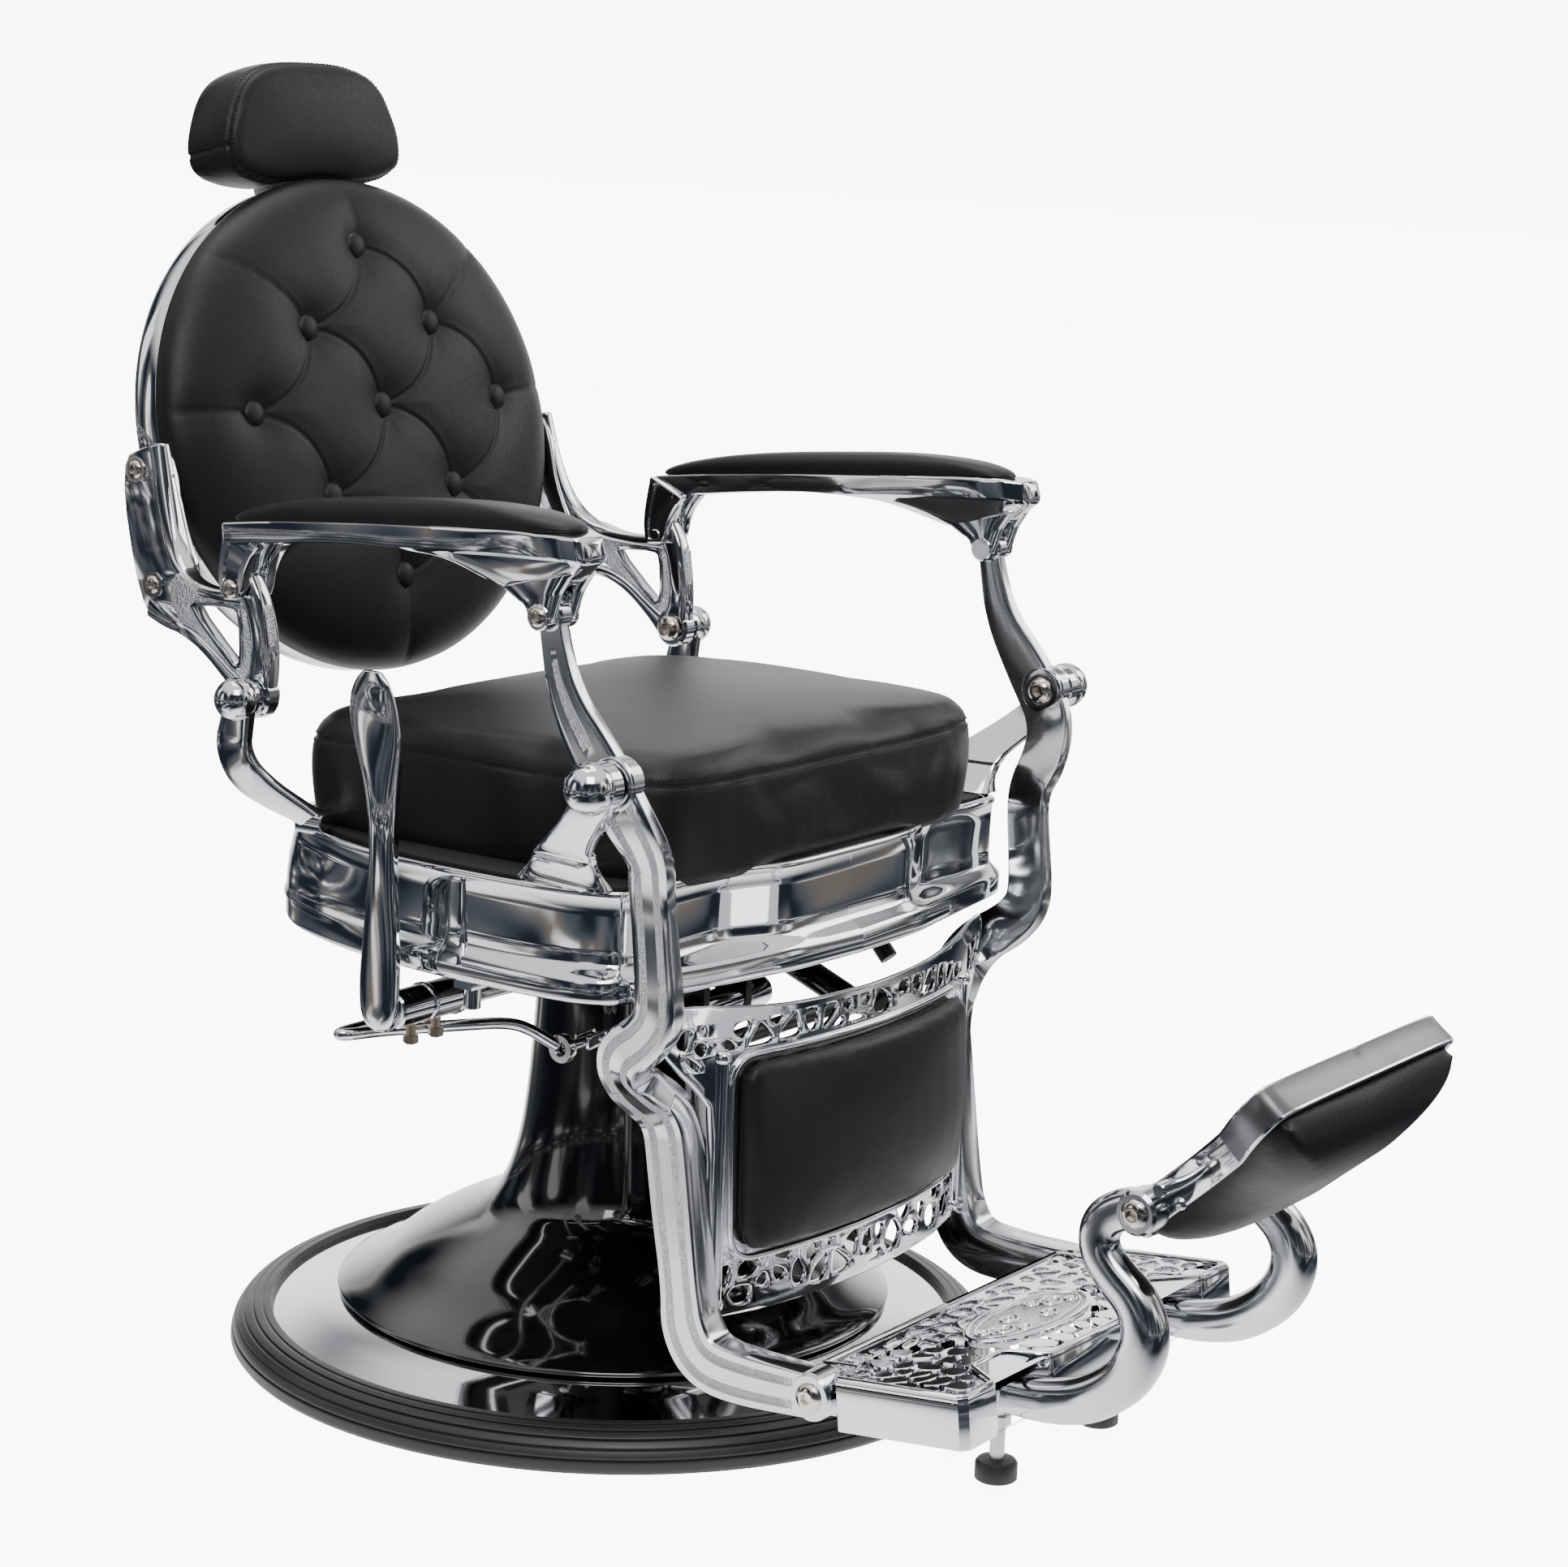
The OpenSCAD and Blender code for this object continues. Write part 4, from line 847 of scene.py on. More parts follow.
def make_back_pad():
    folds = back_folds()

    def depth_at(x, z):
        """The pad's face: a crown, pits at the buttons, and ribbed valleys along the folds."""
        p = Vector((x, z))
        r = math.hypot(x / PAD_W, z / PAD_H)
        crown = 19 - 39 * max(0.0, 1 - r ** 4.4) ** 0.46
        fade = clamp((1.02 - r) / 0.1)
        pit = 0.0
        for b in BUTTONS:
            gap = (p - Vector(b)).length
            pit += 4.6 * math.exp(-(gap / 34) ** 2) + 3.4 * math.exp(-(gap / 15) ** 2)
        rib = valley = 0.0
        for line in folds:
            near = min(point_gap(p, a, b) for a, b in zip(line, line[1:]))
            if near < 60:
                rib = max(rib, 1.5 * math.exp(-(near / 1.8) ** 2))
                valley = max(valley, 1.7 * math.exp(-(near / 15) ** 2))
        return crown + (pit + valley) * fade + rib * (0.35 + 0.65 * fade)

    around, rows = 312, 136
    sizes = [((j / rows) ** 0.9, depth_at) for j in range(1, rows + 1)]
    sizes += [(0.998, 22), (0.975, 27), (0.9, 32), (0.5, 32)]
    rings = [back_ring(PAD_W * size, PAD_H * size, around, depth) for size, depth in sizes]
    shape = Shape().add(*rings_to_mesh(rings))
    shape.put("back_pad_tufted", "black_leather", "backrest", ["back_pad"], sharp=0)
    into = on_back(0, 1, 0) - on_back(0, 0, 0)
    turn = Z.rotation_difference(-into).to_matrix()
    profile = [(0.01, 4.8), (5, 4.6), (9.4, 3.4), (11.8, 1.2), (12.4, -0.8), (11.6, -3), (8.5, -5), (0.01, -6)]
    verts, faces = lathe(profile, 32)
    buttons = Shape()
    for x, z in BUTTONS:
        floor = on_back(x, depth_at(x, z), z) - into * 2
        buttons.add([floor + turn @ v for v in verts], faces)
    buttons.put("back_buttons_covered", "black_leather", "backrest", ["back_buttons"], sub=1)


def make_back_shell():
    # depth and outward offset of the rim's section, from its front edge to the middle of its back
    section = [(30, -12), (26, -9), (23.6, -6), (23.4, -4), (25, -2.8), (44, -2), (50, -3.6), (54, -8), (56, -17),
               (56, -90), (56, -180)]
    rings = [back_ring(PAD_W + out, PAD_H + out, 160, depth) for depth, out in section]
    Shape().add(*rings_to_mesh(rings, False, True)).put("back_shell_skin", "polished_chrome", "backrest",
                                                        ["back_shell"], mats=["pressed_chrome"], sharp=60)


def make_back_bracket(name, side):
    rear, pin = anchor("recline"), anchor("arm_link_left")
    x_in, x_out = 272, 286
    x_mid = (x_in + x_out) / 2
    shape = Shape()
    strap = [(352, 748), (318, 764), (296, 764), (282, 700), (258, 655), (300, 618), (326, 628)]
    strap = cut_corners(strap, 2, True)
    shape.add(*plate([strap], 11, 2, in_side_plane(247)))
    web = cut_corners([(262, 668), (226, 659), (190, 655), (152, 655), (149, 630), (149, 592), (164, 580), (187, 590),
                       (222, 618), (258, 630)], 1, True)
    window = [(236, 641), (226, 645), (188, 647), (180, 641), (178, 604), (182, 596), (190, 600)]
    window = cut_corners(window, 1, True)
    shape.add(*plate([web, window], 8, 1.5, in_side_plane(x_mid)), mat=1)
    loop = [(x_mid, p.x, p.y, 6.6, 2.6) for p in window]
    shape.add(*sweep(loop + loop[:2], X, squircle_section(10, 3), rounds=0))
    # bright flange: down the strap, round the corner and forward to the pin lug
    shape.add(*sweep([(250, 306, 763, 5, 9), (251, 296, 724, 7, 9), (254, 283, 690, 9, 8.5), (262, 266, 668, 9.5, 7),
                      (272, 244, 657, 8, 5.5), (x_mid, 210, 653, 7.5, 5), (x_mid, pin.y, 654, 7.5, 6)], X, ends=3))
    # lower edge and the thick front post
    shape.add(*sweep([(250, 312, 628, 5, 8), (262, 280, 622, 7, 6), (x_mid - 3, 250, 622, 7.5, 5),
                      (x_mid, 222, 612, 7.5, 5), (x_mid, 192, 590, 7.5, 6), (x_mid, 172, 574, 7.5, 10)], X, ends=3))
    shape.add(*sweep([(x_mid, pin.y - 2, pin.z + 5, 8, 11), (x_mid, 166, 652, 8.6, 11), (x_mid - 1, 159, 630, 10, 9),
                      (x_mid - 1, 157, 600, 10, 9.5), (x_mid + 0.5, rear.y, rear.z, 7.6, 17)], X, ends=6))
    shape.add(*cross_rod(x_in - 0.6, x_out + 0.6, rear, 18, 32, 2))
    shape.add(*cross_rod(x_in - 0.6, x_out + 0.6, pin, 12.5, 32, 2))
    shape.put(f"back_bracket_{name}_skin", "polished_chrome", "backrest", [f"back_bracket_{name}"], side,
              mats=["polished_chrome", "stippled"])


def make_bracket_screws():
    shape = Shape()
    washer = [(8.4, -1), (11, -1), (11, 0.6), (9.6, 1), (8.4, 0.2)]
    for side in SIDES.values():
        for at in (Vector((side * 252.4, 331, 742)), Vector((side * 252.4, 310, 648))):
            shape.add(*lathe(washer, 32, at, "X", True))
            bolt(shape, side, 243, 252.6, at, 4, 252.4, 8, 4)
    shape.put("bracket_screws_skin", "nickel_screw", "backrest", ["bracket_screws"])


def make_headrest():
    top = [(110, -30), (106, -4), (86, 33), (52, 46)]
    bottom = [(103, -48), (64, -58)]
    left = [(-x, z) for x, z in top[::-1] + bottom]
    plan = cut_corners(top + [(0, 48)] + left + [(0, -56)] + bottom[::-1], 3, closed=True)
    tilt = math.radians(5)
    centre, behind = 273, 35

    def place(p, depth):
        up = p.y * math.cos(tilt) + (depth - 12) * math.sin(tilt) * 0.6
        into = 12 + (depth - 12) * math.cos(tilt) - p.y * math.sin(tilt)
        clear = (PAD_H + 3) * math.sqrt(max(0.0, 1 - (p.x / (PAD_W + 3)) ** 2))
        return on_back(p.x, into + behind, max(centre + up, clear))

    levels = [(-22, 9), (-19.6, 4), (-15.5, 1.2), (-9, 0), (6, -1), (22, -0.5), (34, 1.5), (39, 5), (42, 12)]
    rings = [[place(p * s, -25 + 3.2 * s ** 3) for p in inset(plan, 9)] for s in (0.15, 0.4, 0.65, 0.85, 0.95)]
    rings += [[place(p, depth) for p in inset(plan, d)] for depth, d in levels]
    rings += [[place(p * s, 43) for p in inset(plan, 14)] for s in (0.8, 0.4)]
    shape = Shape().add(*rings_to_mesh(rings))
    obj = shape.put("headrest_pad_soft", "black_leather", "headrest", ["headrest_pad"])
    puff(obj, 0.004, pin=lambda p: (p - on_back(0, 12 + behind, centre)).y > 24)
    face = [place(p, -15) for p in inset(plan, 0.5)]
    seam(obj, face, "headrest_face_stitches", "headrest", offsets=(-3.2, 3.2), depth=2.2, closed=True)
    for name, side in SIDES.items():
        line = [place(Vector((side * (106 - 2 * abs(k - 5) / 5), -25 - k * 0.4)), -10 + k * 5.2)
                for k in range(11)]
        seam(obj, line, f"headrest_side_stitches_{name}", "headrest", offsets=(-2.6,), width=2, depth=1.8)


# ---------- armrests ----------

ARM_FRONT_PIN = Vector((0, -160.6, 681.9))
# distance along the chair and height of the rail's top
RAIL_TOP = [(-204, 743), (-192, 745), (-150, 744.5), (-77, 740), (11, 733), (103, 725), (190, 716.5), (204, 715)]


def make_armrest(name, side):
    rear, front = anchor("arm_link_left"), ARM_FRONT_PIN
    body = f"arm_{name}"

    def rail_section(i, t):
        """A flat band round the edge, with a narrower rounded belly under it."""
        high = dense[i][4]
        band = max(-0.82, 1 - 17 / high)
        step = max(-0.88, band - 3 / high)
        half = [(1, band), (1, 0.8), (0.985, 0.93), (0.94, 1)]
        belly = [(-0.8 + 0.38 * k ** 2, step * (1 - k) - k) for k in (0, 0.4, 0.75, 0.93, 1)]
        outline = half + [(-a, b) for a, b in half[::-1]] + belly + [(-a, b) for a, b in belly[::-1]]
        return [(a, -b) for a, b in outline[::-1]]

    rail = [(284, 182, 707, 17.5, 9.4), (284, 172, 708, 18.4, 9.6), (285, 136, 712.5, 20, 9.6),
            (287, 79, 719, 22, 8.6), (293, 15, 725, 24.5, 8.4), (297, -40, 726.5, 27, 10.8), (300, -69, 726, 28.5, 14),
            (303, -102, 723, 30, 19), (304.5, -130, 720.5, 30, 23.5), (306, -160, 722, 28, 23),
            (308, -182, 729, 23, 17), (309, -195, 733, 16, 11)]
    dense = cut_corners(rail, 3)
    shape = Shape().add(*sweep(rail, X, rail_section, ends=6))

    def framed(i, t):
        """A bar with a sunk panel along its outer face."""
        deep = 0.45 * max(0.0, math.sin(math.pi * min(1, t * 1.15))) ** 0.5
        return [(1, -0.95), (1, -0.62), (1 - deep, -0.52), (1 - deep, 0.52), (1, 0.62), (1, 0.95), (0.8, 1),
                (-0.8, 1), (-1, 0.9), (-1, -0.9), (-0.8, -1), (0.8, -1)]

    for x, sign in ((293.6, 1), (264.4, -1)):
        shape.add(*sweep([(x, 167, 707, 5, 20), (x, 172, 696, 5, 16.5), (x, 177, 680, 5, 14),
                          (x, rear.y + 0.6, rear.z, 5, 12), (x, rear.y, rear.z - 6, 5, 9)], X * sign, framed, ends=3))
    for x in (319.4, 294):
        shape.add(*sweep([(x, -156, 708, 5.8, 34), (x, -158, 700, 5.8, 25), (x, -160, 692, 5.8, 16),
                          (x, front.y, front.z, 5.8, 12), (x, front.y, front.z - 5, 5.8, 9)], X, ends=3, power=3))
        shape.add(*cross_rod(x - 6.4, x + 6.4, front, 10.5, 28, 1.2))
    shape.put(f"armrest_{name}_skin", "polished_chrome", body, [f"armrest_{name}"], side)
    plan = cut_corners([(269, 182), (297, 182), (303, 100), (313, 0), (324, -110), (326, -150), (315, -178),
                        (298, -183), (281, -172), (277, -120), (274, 0), (269, 100)], 3, closed=True)
    centre = Vector((296, -10))
    rings = []
    for s, h in ((0.97, -1.5), (1, -0.5), (1.008, 2), (1, 5), (0.97, 8.4), (0.91, 11.6), (0.82, 14.6),
                 (0.66, 17.4), (0.46, 19), (0.22, 19.6)):
        rings.append([(q.x, q.y, interpolate(RAIL_TOP, q.y) + h * (1 - 0.24 * abs(q.y / 190) ** 3))
                      for q in (centre + (p - centre) * s for p in plan)])
    pad = Shape().add(*rings_to_mesh(rings))
    pad.put(f"arm_pad_{name}_soft", "black_leather", body, [f"arm_pad_{name}"], side, sub=1)
    pins = Shape()
    bolt(pins, 1, 260, 299, rear, 5, 298.8, 8, 4)
    bolt(pins, 1, 289, 325, front, 5, 325.4, 8, 4)
    pins.put(f"arm_pins_{name}_skin", "nickel_screw", body, [f"arm_pins_{name}"], side)


# ---------- leg frame ----------

def make_leg_bar(name, side):
    pivot, foot = anchor("leg_swing"), anchor("footplate_fold")
    # side view: y, z and half width; front view: z to x and z to half thickness
    side_view = cut_corners([
        (-159, 692, 10), (-162, 668, 10), (-174, 622, 14), (-206, 578, 21), (-232, 540, 21), (-240, 506, 20),
        (-232, 478, 18), (-236, 440, 18), (-241, 396, 19), (-239, 376, 19), (-224, 358, 20), (-200, 342, 21),
        (-190, 322, 21), (-194, 302, 20), (-203, 280, 20), (-213, 210, 20), (-224, 145, 18), (-228, 112, 22),
        (-246, 88, 22), (-285, 84, 21), (-352, 88, 18)], 3)
    x_at = [(50, 195), (258, 195), (276, 197), (292, 207), (308, 228), (328, 246), (352, 259), (378, 266),
            (404, 268), (478, 268), (506, 283), (532, 300), (562, 306), (700, 306)]
    t_at = [(50, 14), (286, 14), (312, 13), (340, 11), (380, 7.5), (482, 6.5), (508, 7), (556, 6), (700, 6)]
    x_at, t_at = cut_corners(x_at, 3), cut_corners(t_at, 3)
    stations = [(interpolate(x_at, p.y), p.x, p.y, interpolate(t_at, p.y), p.z) for p in side_view]

    def grooved(i, t):
        """The bar's outer face has two grooves below the pivot, and one in the upper arm."""
        _, y, z, thick, _ = stations[i]
        two = clamp((548 - z) / 14) * clamp((y + 330) / 8) * 3.0 / thick
        one = clamp((652 - z) / 8) * clamp((z - 590) / 8) * 2.4 / thick
        half = [(1 - one, 0.20), (1 - one * 0.05, 0.24), (1, 0.28), (1 - two, 0.36), (1 - two, 0.58), (1, 0.66),
                (1, 0.92), (0.86, 1)]
        back = [(-0.5, 1), (-0.9, 0.96), (-1, 0.85)]
        return [(a, -b) for a, b in half[::-1]] + half + back + [(a, -b) for a, b in back[::-1]]

    def stipple(i, j):
        """The grooves' floors are stippled."""
        _, y, z, _, _ = stations[min(max(j - END_RINGS, 0), len(stations) - 1)]
        low = i in (2, 3, 4, 10, 11, 12) and z < 548 and y > -331
        return 1 if low or i in (6, 7, 8) and 590 < z < 652 else 0

    shape = Shape().add(*sweep(stations, X, grooved, ends=8, rounds=0, face_mat=stipple))
    shape.add(*cross_rod(299, 313, ARM_FRONT_PIN, 13, 32, 2))
    shape.add(*cross_rod(299, 313, pivot, 21, 36, 2))
    collar = [(13, -9), (18.5, -9), (20, -8), (20, 8), (18.5, 9), (13, 9)]
    shape.add(*lathe(collar, 36, (305.5, pivot.y, pivot.z), "X", True))
    shape.add(*cross_rod(181, 209.6, foot, 19.5, 36, 2.5))
    shape.put(f"leg_bar_{name}_skin", "polished_chrome", "leg_frame", [f"leg_bar_{name}"], side,
              mats=["cast_chrome", "stippled"])


PANEL_Y, PANEL_BULGE, PANEL_HALF = -258, 26, 180.6
PANEL_R = (PANEL_HALF ** 2 + PANEL_BULGE ** 2) / (2 * PANEL_BULGE)


def on_panel(x, z, out):
    """A point of the calf panel: across, height, and outwards towards the front."""
    return Vector((x, PANEL_Y + PANEL_R - math.sqrt(PANEL_R ** 2 - x * x) - out, z))


def make_panel():
    half = [(0, 360), (90, 361), (150, 366), (196, 373), (226, 374), (238, 364), (234, 346), (214, 322), (196, 304),
            (181, 284), (181, 122), (172, 112), (0, 112)]
    outline = cut_corners(both_sides(half), 1, closed=True)
    holes = fretwork([(-176, 329), (176, 329), (176, 358), (-176, 358)], 25, 6.5, 5)
    holes += fretwork([(-174, 117), (174, 117), (174, 160), (-174, 160)], 25, 6.5, 11)
    wing = [(184, 304), (206, 322), (229, 350), (228, 366), (186, 362), (180, 330)]
    holes += fretwork(wing, 20, 6, 3, jitter=0.42)
    holes += fretwork([(-x, z) for x, z in wing], 20, 6, 4, jitter=0.42)
    shape = Shape().add(*plate([outline] + holes, 5, 1.2, lambda a, b, h: on_panel(a, b, h - 2.5), slices=12))
    frame_line = cut_corners([(-165, 276), (-165, 327), (-114, 327), (114, 327), (165, 327), (165, 276), (163, 210),
                              (161, 159), (110, 159), (-110, 159), (-161, 159), (-163, 210)], 3, closed=True)
    fine = []
    for p, q in pairs(frame_line):
        fine += [p.lerp(q, k / 12) for k in range(12)] if (q - p).length > 60 else [p]
    loop = [(*on_panel(p.x, p.y, 1), 3, 3) for p in fine]
    shape.add(*sweep(loop + loop[:2], Y, squircle_section(10, 2), rounds=0))
    for side in SIDES.values():
        base = on_panel(side * 173.5, 0, 1)
        shape.add(*rod((base.x, base.y, 128), (base.x, base.y, 326), 4.5))
        for z in (126, 328):
            shape.add(*ball((base.x, base.y, z), 6.2, 10))
    shape.put("leg_panel_skin", "polished_chrome", "leg_frame", ["leg_panel"])


def make_calf_pad():
    pad_line = cut_corners([(-159, 274), (-159, 321), (-112, 321), (112, 321), (159, 321), (159, 274), (157, 212),
                            (155, 165), (108, 165), (-108, 165), (-155, 165), (-157, 212)], 3, closed=True)
    fine = []
    for p, q in pairs(pad_line):
        steps = max(1, int((q - p).length / 9))
        fine += [p.lerp(q, k / steps) for k in range(steps)]
    mid = Vector((0, 243))
    rings = [[on_panel(p.x, p.y, out) for p in inset(fine, d)]
             for out, d in ((0.6, 2), (2, 0.4), (6, 0), (9.5, 0.8), (12, 3), (13.8, 7), (14.8, 13))]
    core = inset(fine, 13)
    rings += [[on_panel(*(mid + (p - mid) * s), 16.4 - 1.6 * s * s) for p in core]
              for s in (0.85, 0.65, 0.45, 0.25, 0.1)]
    pad = Shape().add(*rings_to_mesh(rings)).put("calf_pad_soft", "black_leather", "leg_frame", ["calf_pad"])
    puff(pad, pin=lambda p: p.y > on_panel(p.x, 0, 3).y)


# ---------- footplate ----------

DECK_TILT = math.radians(6.4)


def on_deck(x, y, z):
    """A point of the footplate: across, along from its bolt, and up from the bolt, tilted with the deck."""
    foot = anchor("footplate_fold")
    c, s = math.cos(DECK_TILT), math.sin(DECK_TILT)
    return Vector((x, foot.y + y * c + z * s, foot.z - y * s + z * c))


def make_footplate():
    half = [(0, 12), (176, 12), (178, 8), (178, -20), (182, -22), (205, -22), (209, -26), (209, -136), (203, -142),
            (164, -141), (158, -138), (134, -106), (128, -104), (96, -104), (92, -108), (84, -138), (79, -142),
            (0, -143)]
    outline = both_sides(half)
    oval_mid, oval_a, oval_b = Vector((0, -70)), 76, 33

    def reach(p, margin):
        """How far out a point is, as a share of the medallion's edge with a margin."""
        return math.hypot((p.x - oval_mid.x) / (oval_a + margin), (p.y - oval_mid.y) / (oval_b + margin))

    def around_oval(cell):
        """Drops a cell inside the medallion, and pushes the others off it."""
        if all(reach(p, 6) < 1 for p in cell):
            return []
        return [oval_mid + (p - oval_mid) / reach(p, 5) if reach(p, 5) < 1 else p for p in cell]

    holes = fretwork([(-88, -137), (88, -137), (88, 6), (-88, 6)], 24, 6, 21, around_oval)
    inner_bay = [(88, -98), (136, -98), (136, 6), (88, 6)]
    outer_bay = [(136, 6), (172, 6), (203, -20), (203, -136), (164, -134), (136, -98)]
    for k in (1, -1):
        for bay, seed in ((inner_bay, 22), (outer_bay, 31)):
            holes += fretwork([(k * x, y) for x, y in bay], 22, 6, seed + k)
    shape = Shape().add(*plate([outline] + holes, 6, 1.2, lambda a, b, h: on_deck(a, b, 14 + h)))
    shape.add(*plate([outline, inset(outline, 6)], 39, 1.6, lambda a, b, h: on_deck(a, b, -4.5 + h)))

    def bead(line, up, half_width):
        """Runs a raised bead round a closed line on the deck."""
        loop = [(*on_deck(x, y, up), 1.8, half_width) for x, y in line]
        shape.add(*sweep(loop + loop[:2], Z, squircle_section(8, 3), rounds=0))

    bead(inset(outline, 3.4), 17.4, 2.6)
    oval = [oval_mid + Vector(((oval_a + 1) * c, (oval_b + 1) * s)) for c, s in circle(96)]
    for shrink, half_width in ((0, 2.4), (8, 1.2)):
        keep_x, keep_y = 1 - shrink / oval_a, 1 - shrink / oval_b
        bead([(p.x * keep_x, oval_mid.y + (p.y - oval_mid.y) * keep_y) for p in oval], 17.6, half_width)
    shape.add(*plate([oval], 5, 1, lambda a, b, h: on_deck(a, b, 14.6 + h)), mat=1)
    for k in (1, -1):
        for cx, cy, size, start in ((44, 4, 15, 0), (16, -9, 11, 180), (30, 15, 8, 90), (58, -6, 8, 30)):
            scroll = []
            for n in range(26):
                a, r = math.radians(start + n * 24), size * (1 - n / 30)
                at = on_deck(k * (cx + r * math.cos(a)), oval_mid.y + k * cy + r * math.sin(a) * 0.8, 17.8)
                scroll.append((*at, 1.7, 1.5))
            shape.add(*sweep(scroll, Z, squircle_section(8, 2), ends=1, rounds=1))
    foot = anchor("footplate_fold")
    for k in (1, -1):
        shape.add(*cross_rod(k * 156, k * 180, foot, 17, 32, 2))
        # smooth saddles that the foot arms come out of
        shape.add(*sweep([(*on_deck(k * 114, -76, 2), 12, 26), (*on_deck(k * 115, -100, 0), 13, 25),
                          (*on_deck(k * 116, -122, -4), 15, 21)], Z, ends=4, rounds=2, power=3))
    shape.put("footplate_skin", "polished_chrome", "footplate", ["footplate"],
              mats=["polished_chrome", "stippled"])
    bolts, feet = Shape(), Shape()
    lo, hi = box("leveller_feet")
    middle = (lo.y + hi.y) / 2
    for k in (1, -1):
        bolt(bolts, k, 160, 209, foot, 6, 209.6, 11.5, 5)
        rings = []
        # radius, height and depth of the knurl
        for r, z, knurl in ((14.5, 6, 0), (16.5, 7.5, 0.5), (16.5, 20.5, 0.5), (15, 23, 0), (9, 24.2, 0)):
            rings.append([(k * (hi.x - 17) + (r + knurl * (i % 2)) * c, middle + (r + knurl * (i % 2)) * s, z)
                          for i, (c, s) in enumerate(circle(72))])
        feet.add(*rings_to_mesh(rings))
    bolts.put("foot_bolts_skin", "nickel_screw", "footplate", ["foot_bolts"])
    feet.put("leveller_feet_skin", "black_rubber", "footplate", ["leveller_feet"])


def make_foot_arm(name, side):
    hinge = anchor("flip")
    x = 116
    # y, z, half thickness and half width
    line = [(-452, 96, 14, 14.5), (-478, 97, 14, 15), (-484, 97, 14, 15), (-516, 100, 15.5, 17),
            (-550, 110, 16, 18.5), (-582, 136, 16, 19), (-594, 168, 16, 18.5), (-585, 194, 15, 17),
            (-560, 212, 14, 15.5), (-545, 230, 13, 15), (-548, 252, 12.5, 15.5), (-566, 264, 12, 16),
            (hinge.y, hinge.z, 12, 16.5)]
    # the inner face stays flat, clear of the flip rest
    line = [(x + thick - 12, y, z, thick, wide) for y, z, thick, wide in line]
    shape = Shape().add(*sweep(line, X, lambda i, t: squircle(24, 2.6 + 1.6 * abs(2 * t - 1) ** 3), ends=15))
    shape.add(*sweep([(x, -446, 95.5, 14.5, 14), (x, -474, 94.5, 14.5, 14)], X, ends=2, rounds=1, power=5))
    shape.add(*cross_rod(x - 12.2, x + 12.2, hinge, 17.6, 36, 2.5))
    shape.put(f"foot_arm_{name}_skin", "polished_chrome", "footplate", [f"foot_arm_{name}"], side,
              mats=["cast_chrome"])


# ---------- flip rest ----------

FLIP_ANGLE = math.radians(49.4)
EAR, TAIL, LENGTH, DEPTH, FLIP_HALF = 103.4, -36, 162, 28, 145
TRAY_HALF = [(0, TAIL), (EAR - 18, TAIL), (EAR - 0.5, TAIL + 20), (EAR, 44), (FLIP_HALF - 18, 96),
             (FLIP_HALF, 128), (FLIP_HALF, LENGTH - 8), (FLIP_HALF - 10, LENGTH), (0, LENGTH)]


def on_flip(x, along, out):
    """A point of the flip rest: across, along from its hinge, and out of its face, which is set back there."""
    hinge = anchor("flip")
    out -= 16 * clamp((98 - along) / 118)
    c, s = math.cos(FLIP_ANGLE), math.sin(FLIP_ANGLE)
    return Vector((x, hinge.y - along * c - out * s, hinge.z + along * s - out * c))


def make_flip_rest():
    hinge = anchor("flip")
    plan = cut_corners(both_sides(TRAY_HALF), 2, closed=True)
    levels = [(0, 3.2), (0.6, 1.2), (2.4, 0), (DEPTH * 0.5, -0.3), (DEPTH - 2.4, -1), (DEPTH - 0.8, -0.8),
              (DEPTH, 0.6), (DEPTH, 2.6), (DEPTH - 1.4, 4.2), (8, 5.4)]
    rings = [[on_flip(p.x, p.y, out) for p in inset(plan, d)] for out, d in levels]
    verts, faces = rings_to_mesh(rings)
    # the outer part of the tray's side is satin
    satin = [f[0] // len(plan) in (2, 3) and plan[f[0] % len(plan)].y > 104 for f in faces]
    shape = Shape().add(verts, faces, [int(s) for s in satin])
    for side in SIDES.values():
        shape.add(*cross_rod(side * (EAR - 15), side * (EAR + 0.2), hinge, 15.5, 32, 1.5))
        stop = on_flip(side * EAR, 26, 9)
        shape.add(*rod(stop - X * 6 * side, stop + X * 20 * side, 5.6, 24, 1))
        shape.add(*socket_head(on_flip(side * EAR, 22, 24), (side, 0, 0), 5.2, 4))
    shape.put("flip_tray_skin", "polished_chrome", "flip_rest", ["flip_tray"], mats=["polished_chrome", "satin_tray"],
              sharp=35)
    edge = inset(plan, 7.2)
    mid = Vector((0, 72))
    levels = [(15, 1.5), (20, 0), (27, -0.4), (31, 1.6)]
    rings = [[on_flip(p.x, p.y, out) for p in inset(edge, d)] for out, d in levels]
    dome = inset(edge, levels[-1][1])
    for s in (0.99, 0.965, 0.93, 0.88, 0.81, 0.72, 0.6, 0.46, 0.3, 0.12):
        rings.append([on_flip(*(mid + (p - mid) * s), 31 + 28 * (1 - s ** 3.4) ** 0.62) for p in dome])
    pad = Shape().add(*rings_to_mesh(rings)).put("flip_pad_soft", "black_leather", "flip_rest", ["flip_pad"])
    puff(pad, pin=lambda p: (p - on_flip(0, 0, 24)).dot(on_flip(0, 0, 1) - on_flip(0, 0, 0)) < 0)
    bolts = Shape()
    for side in SIDES.values():
        bolt(bolts, side, EAR - 14, 128, hinge, 5, 128.2, 11.5, 5)
    bolts.put("flip_bolts_skin", "nickel_screw", "flip_rest", ["flip_bolts"])


# ---------- everything together ----------

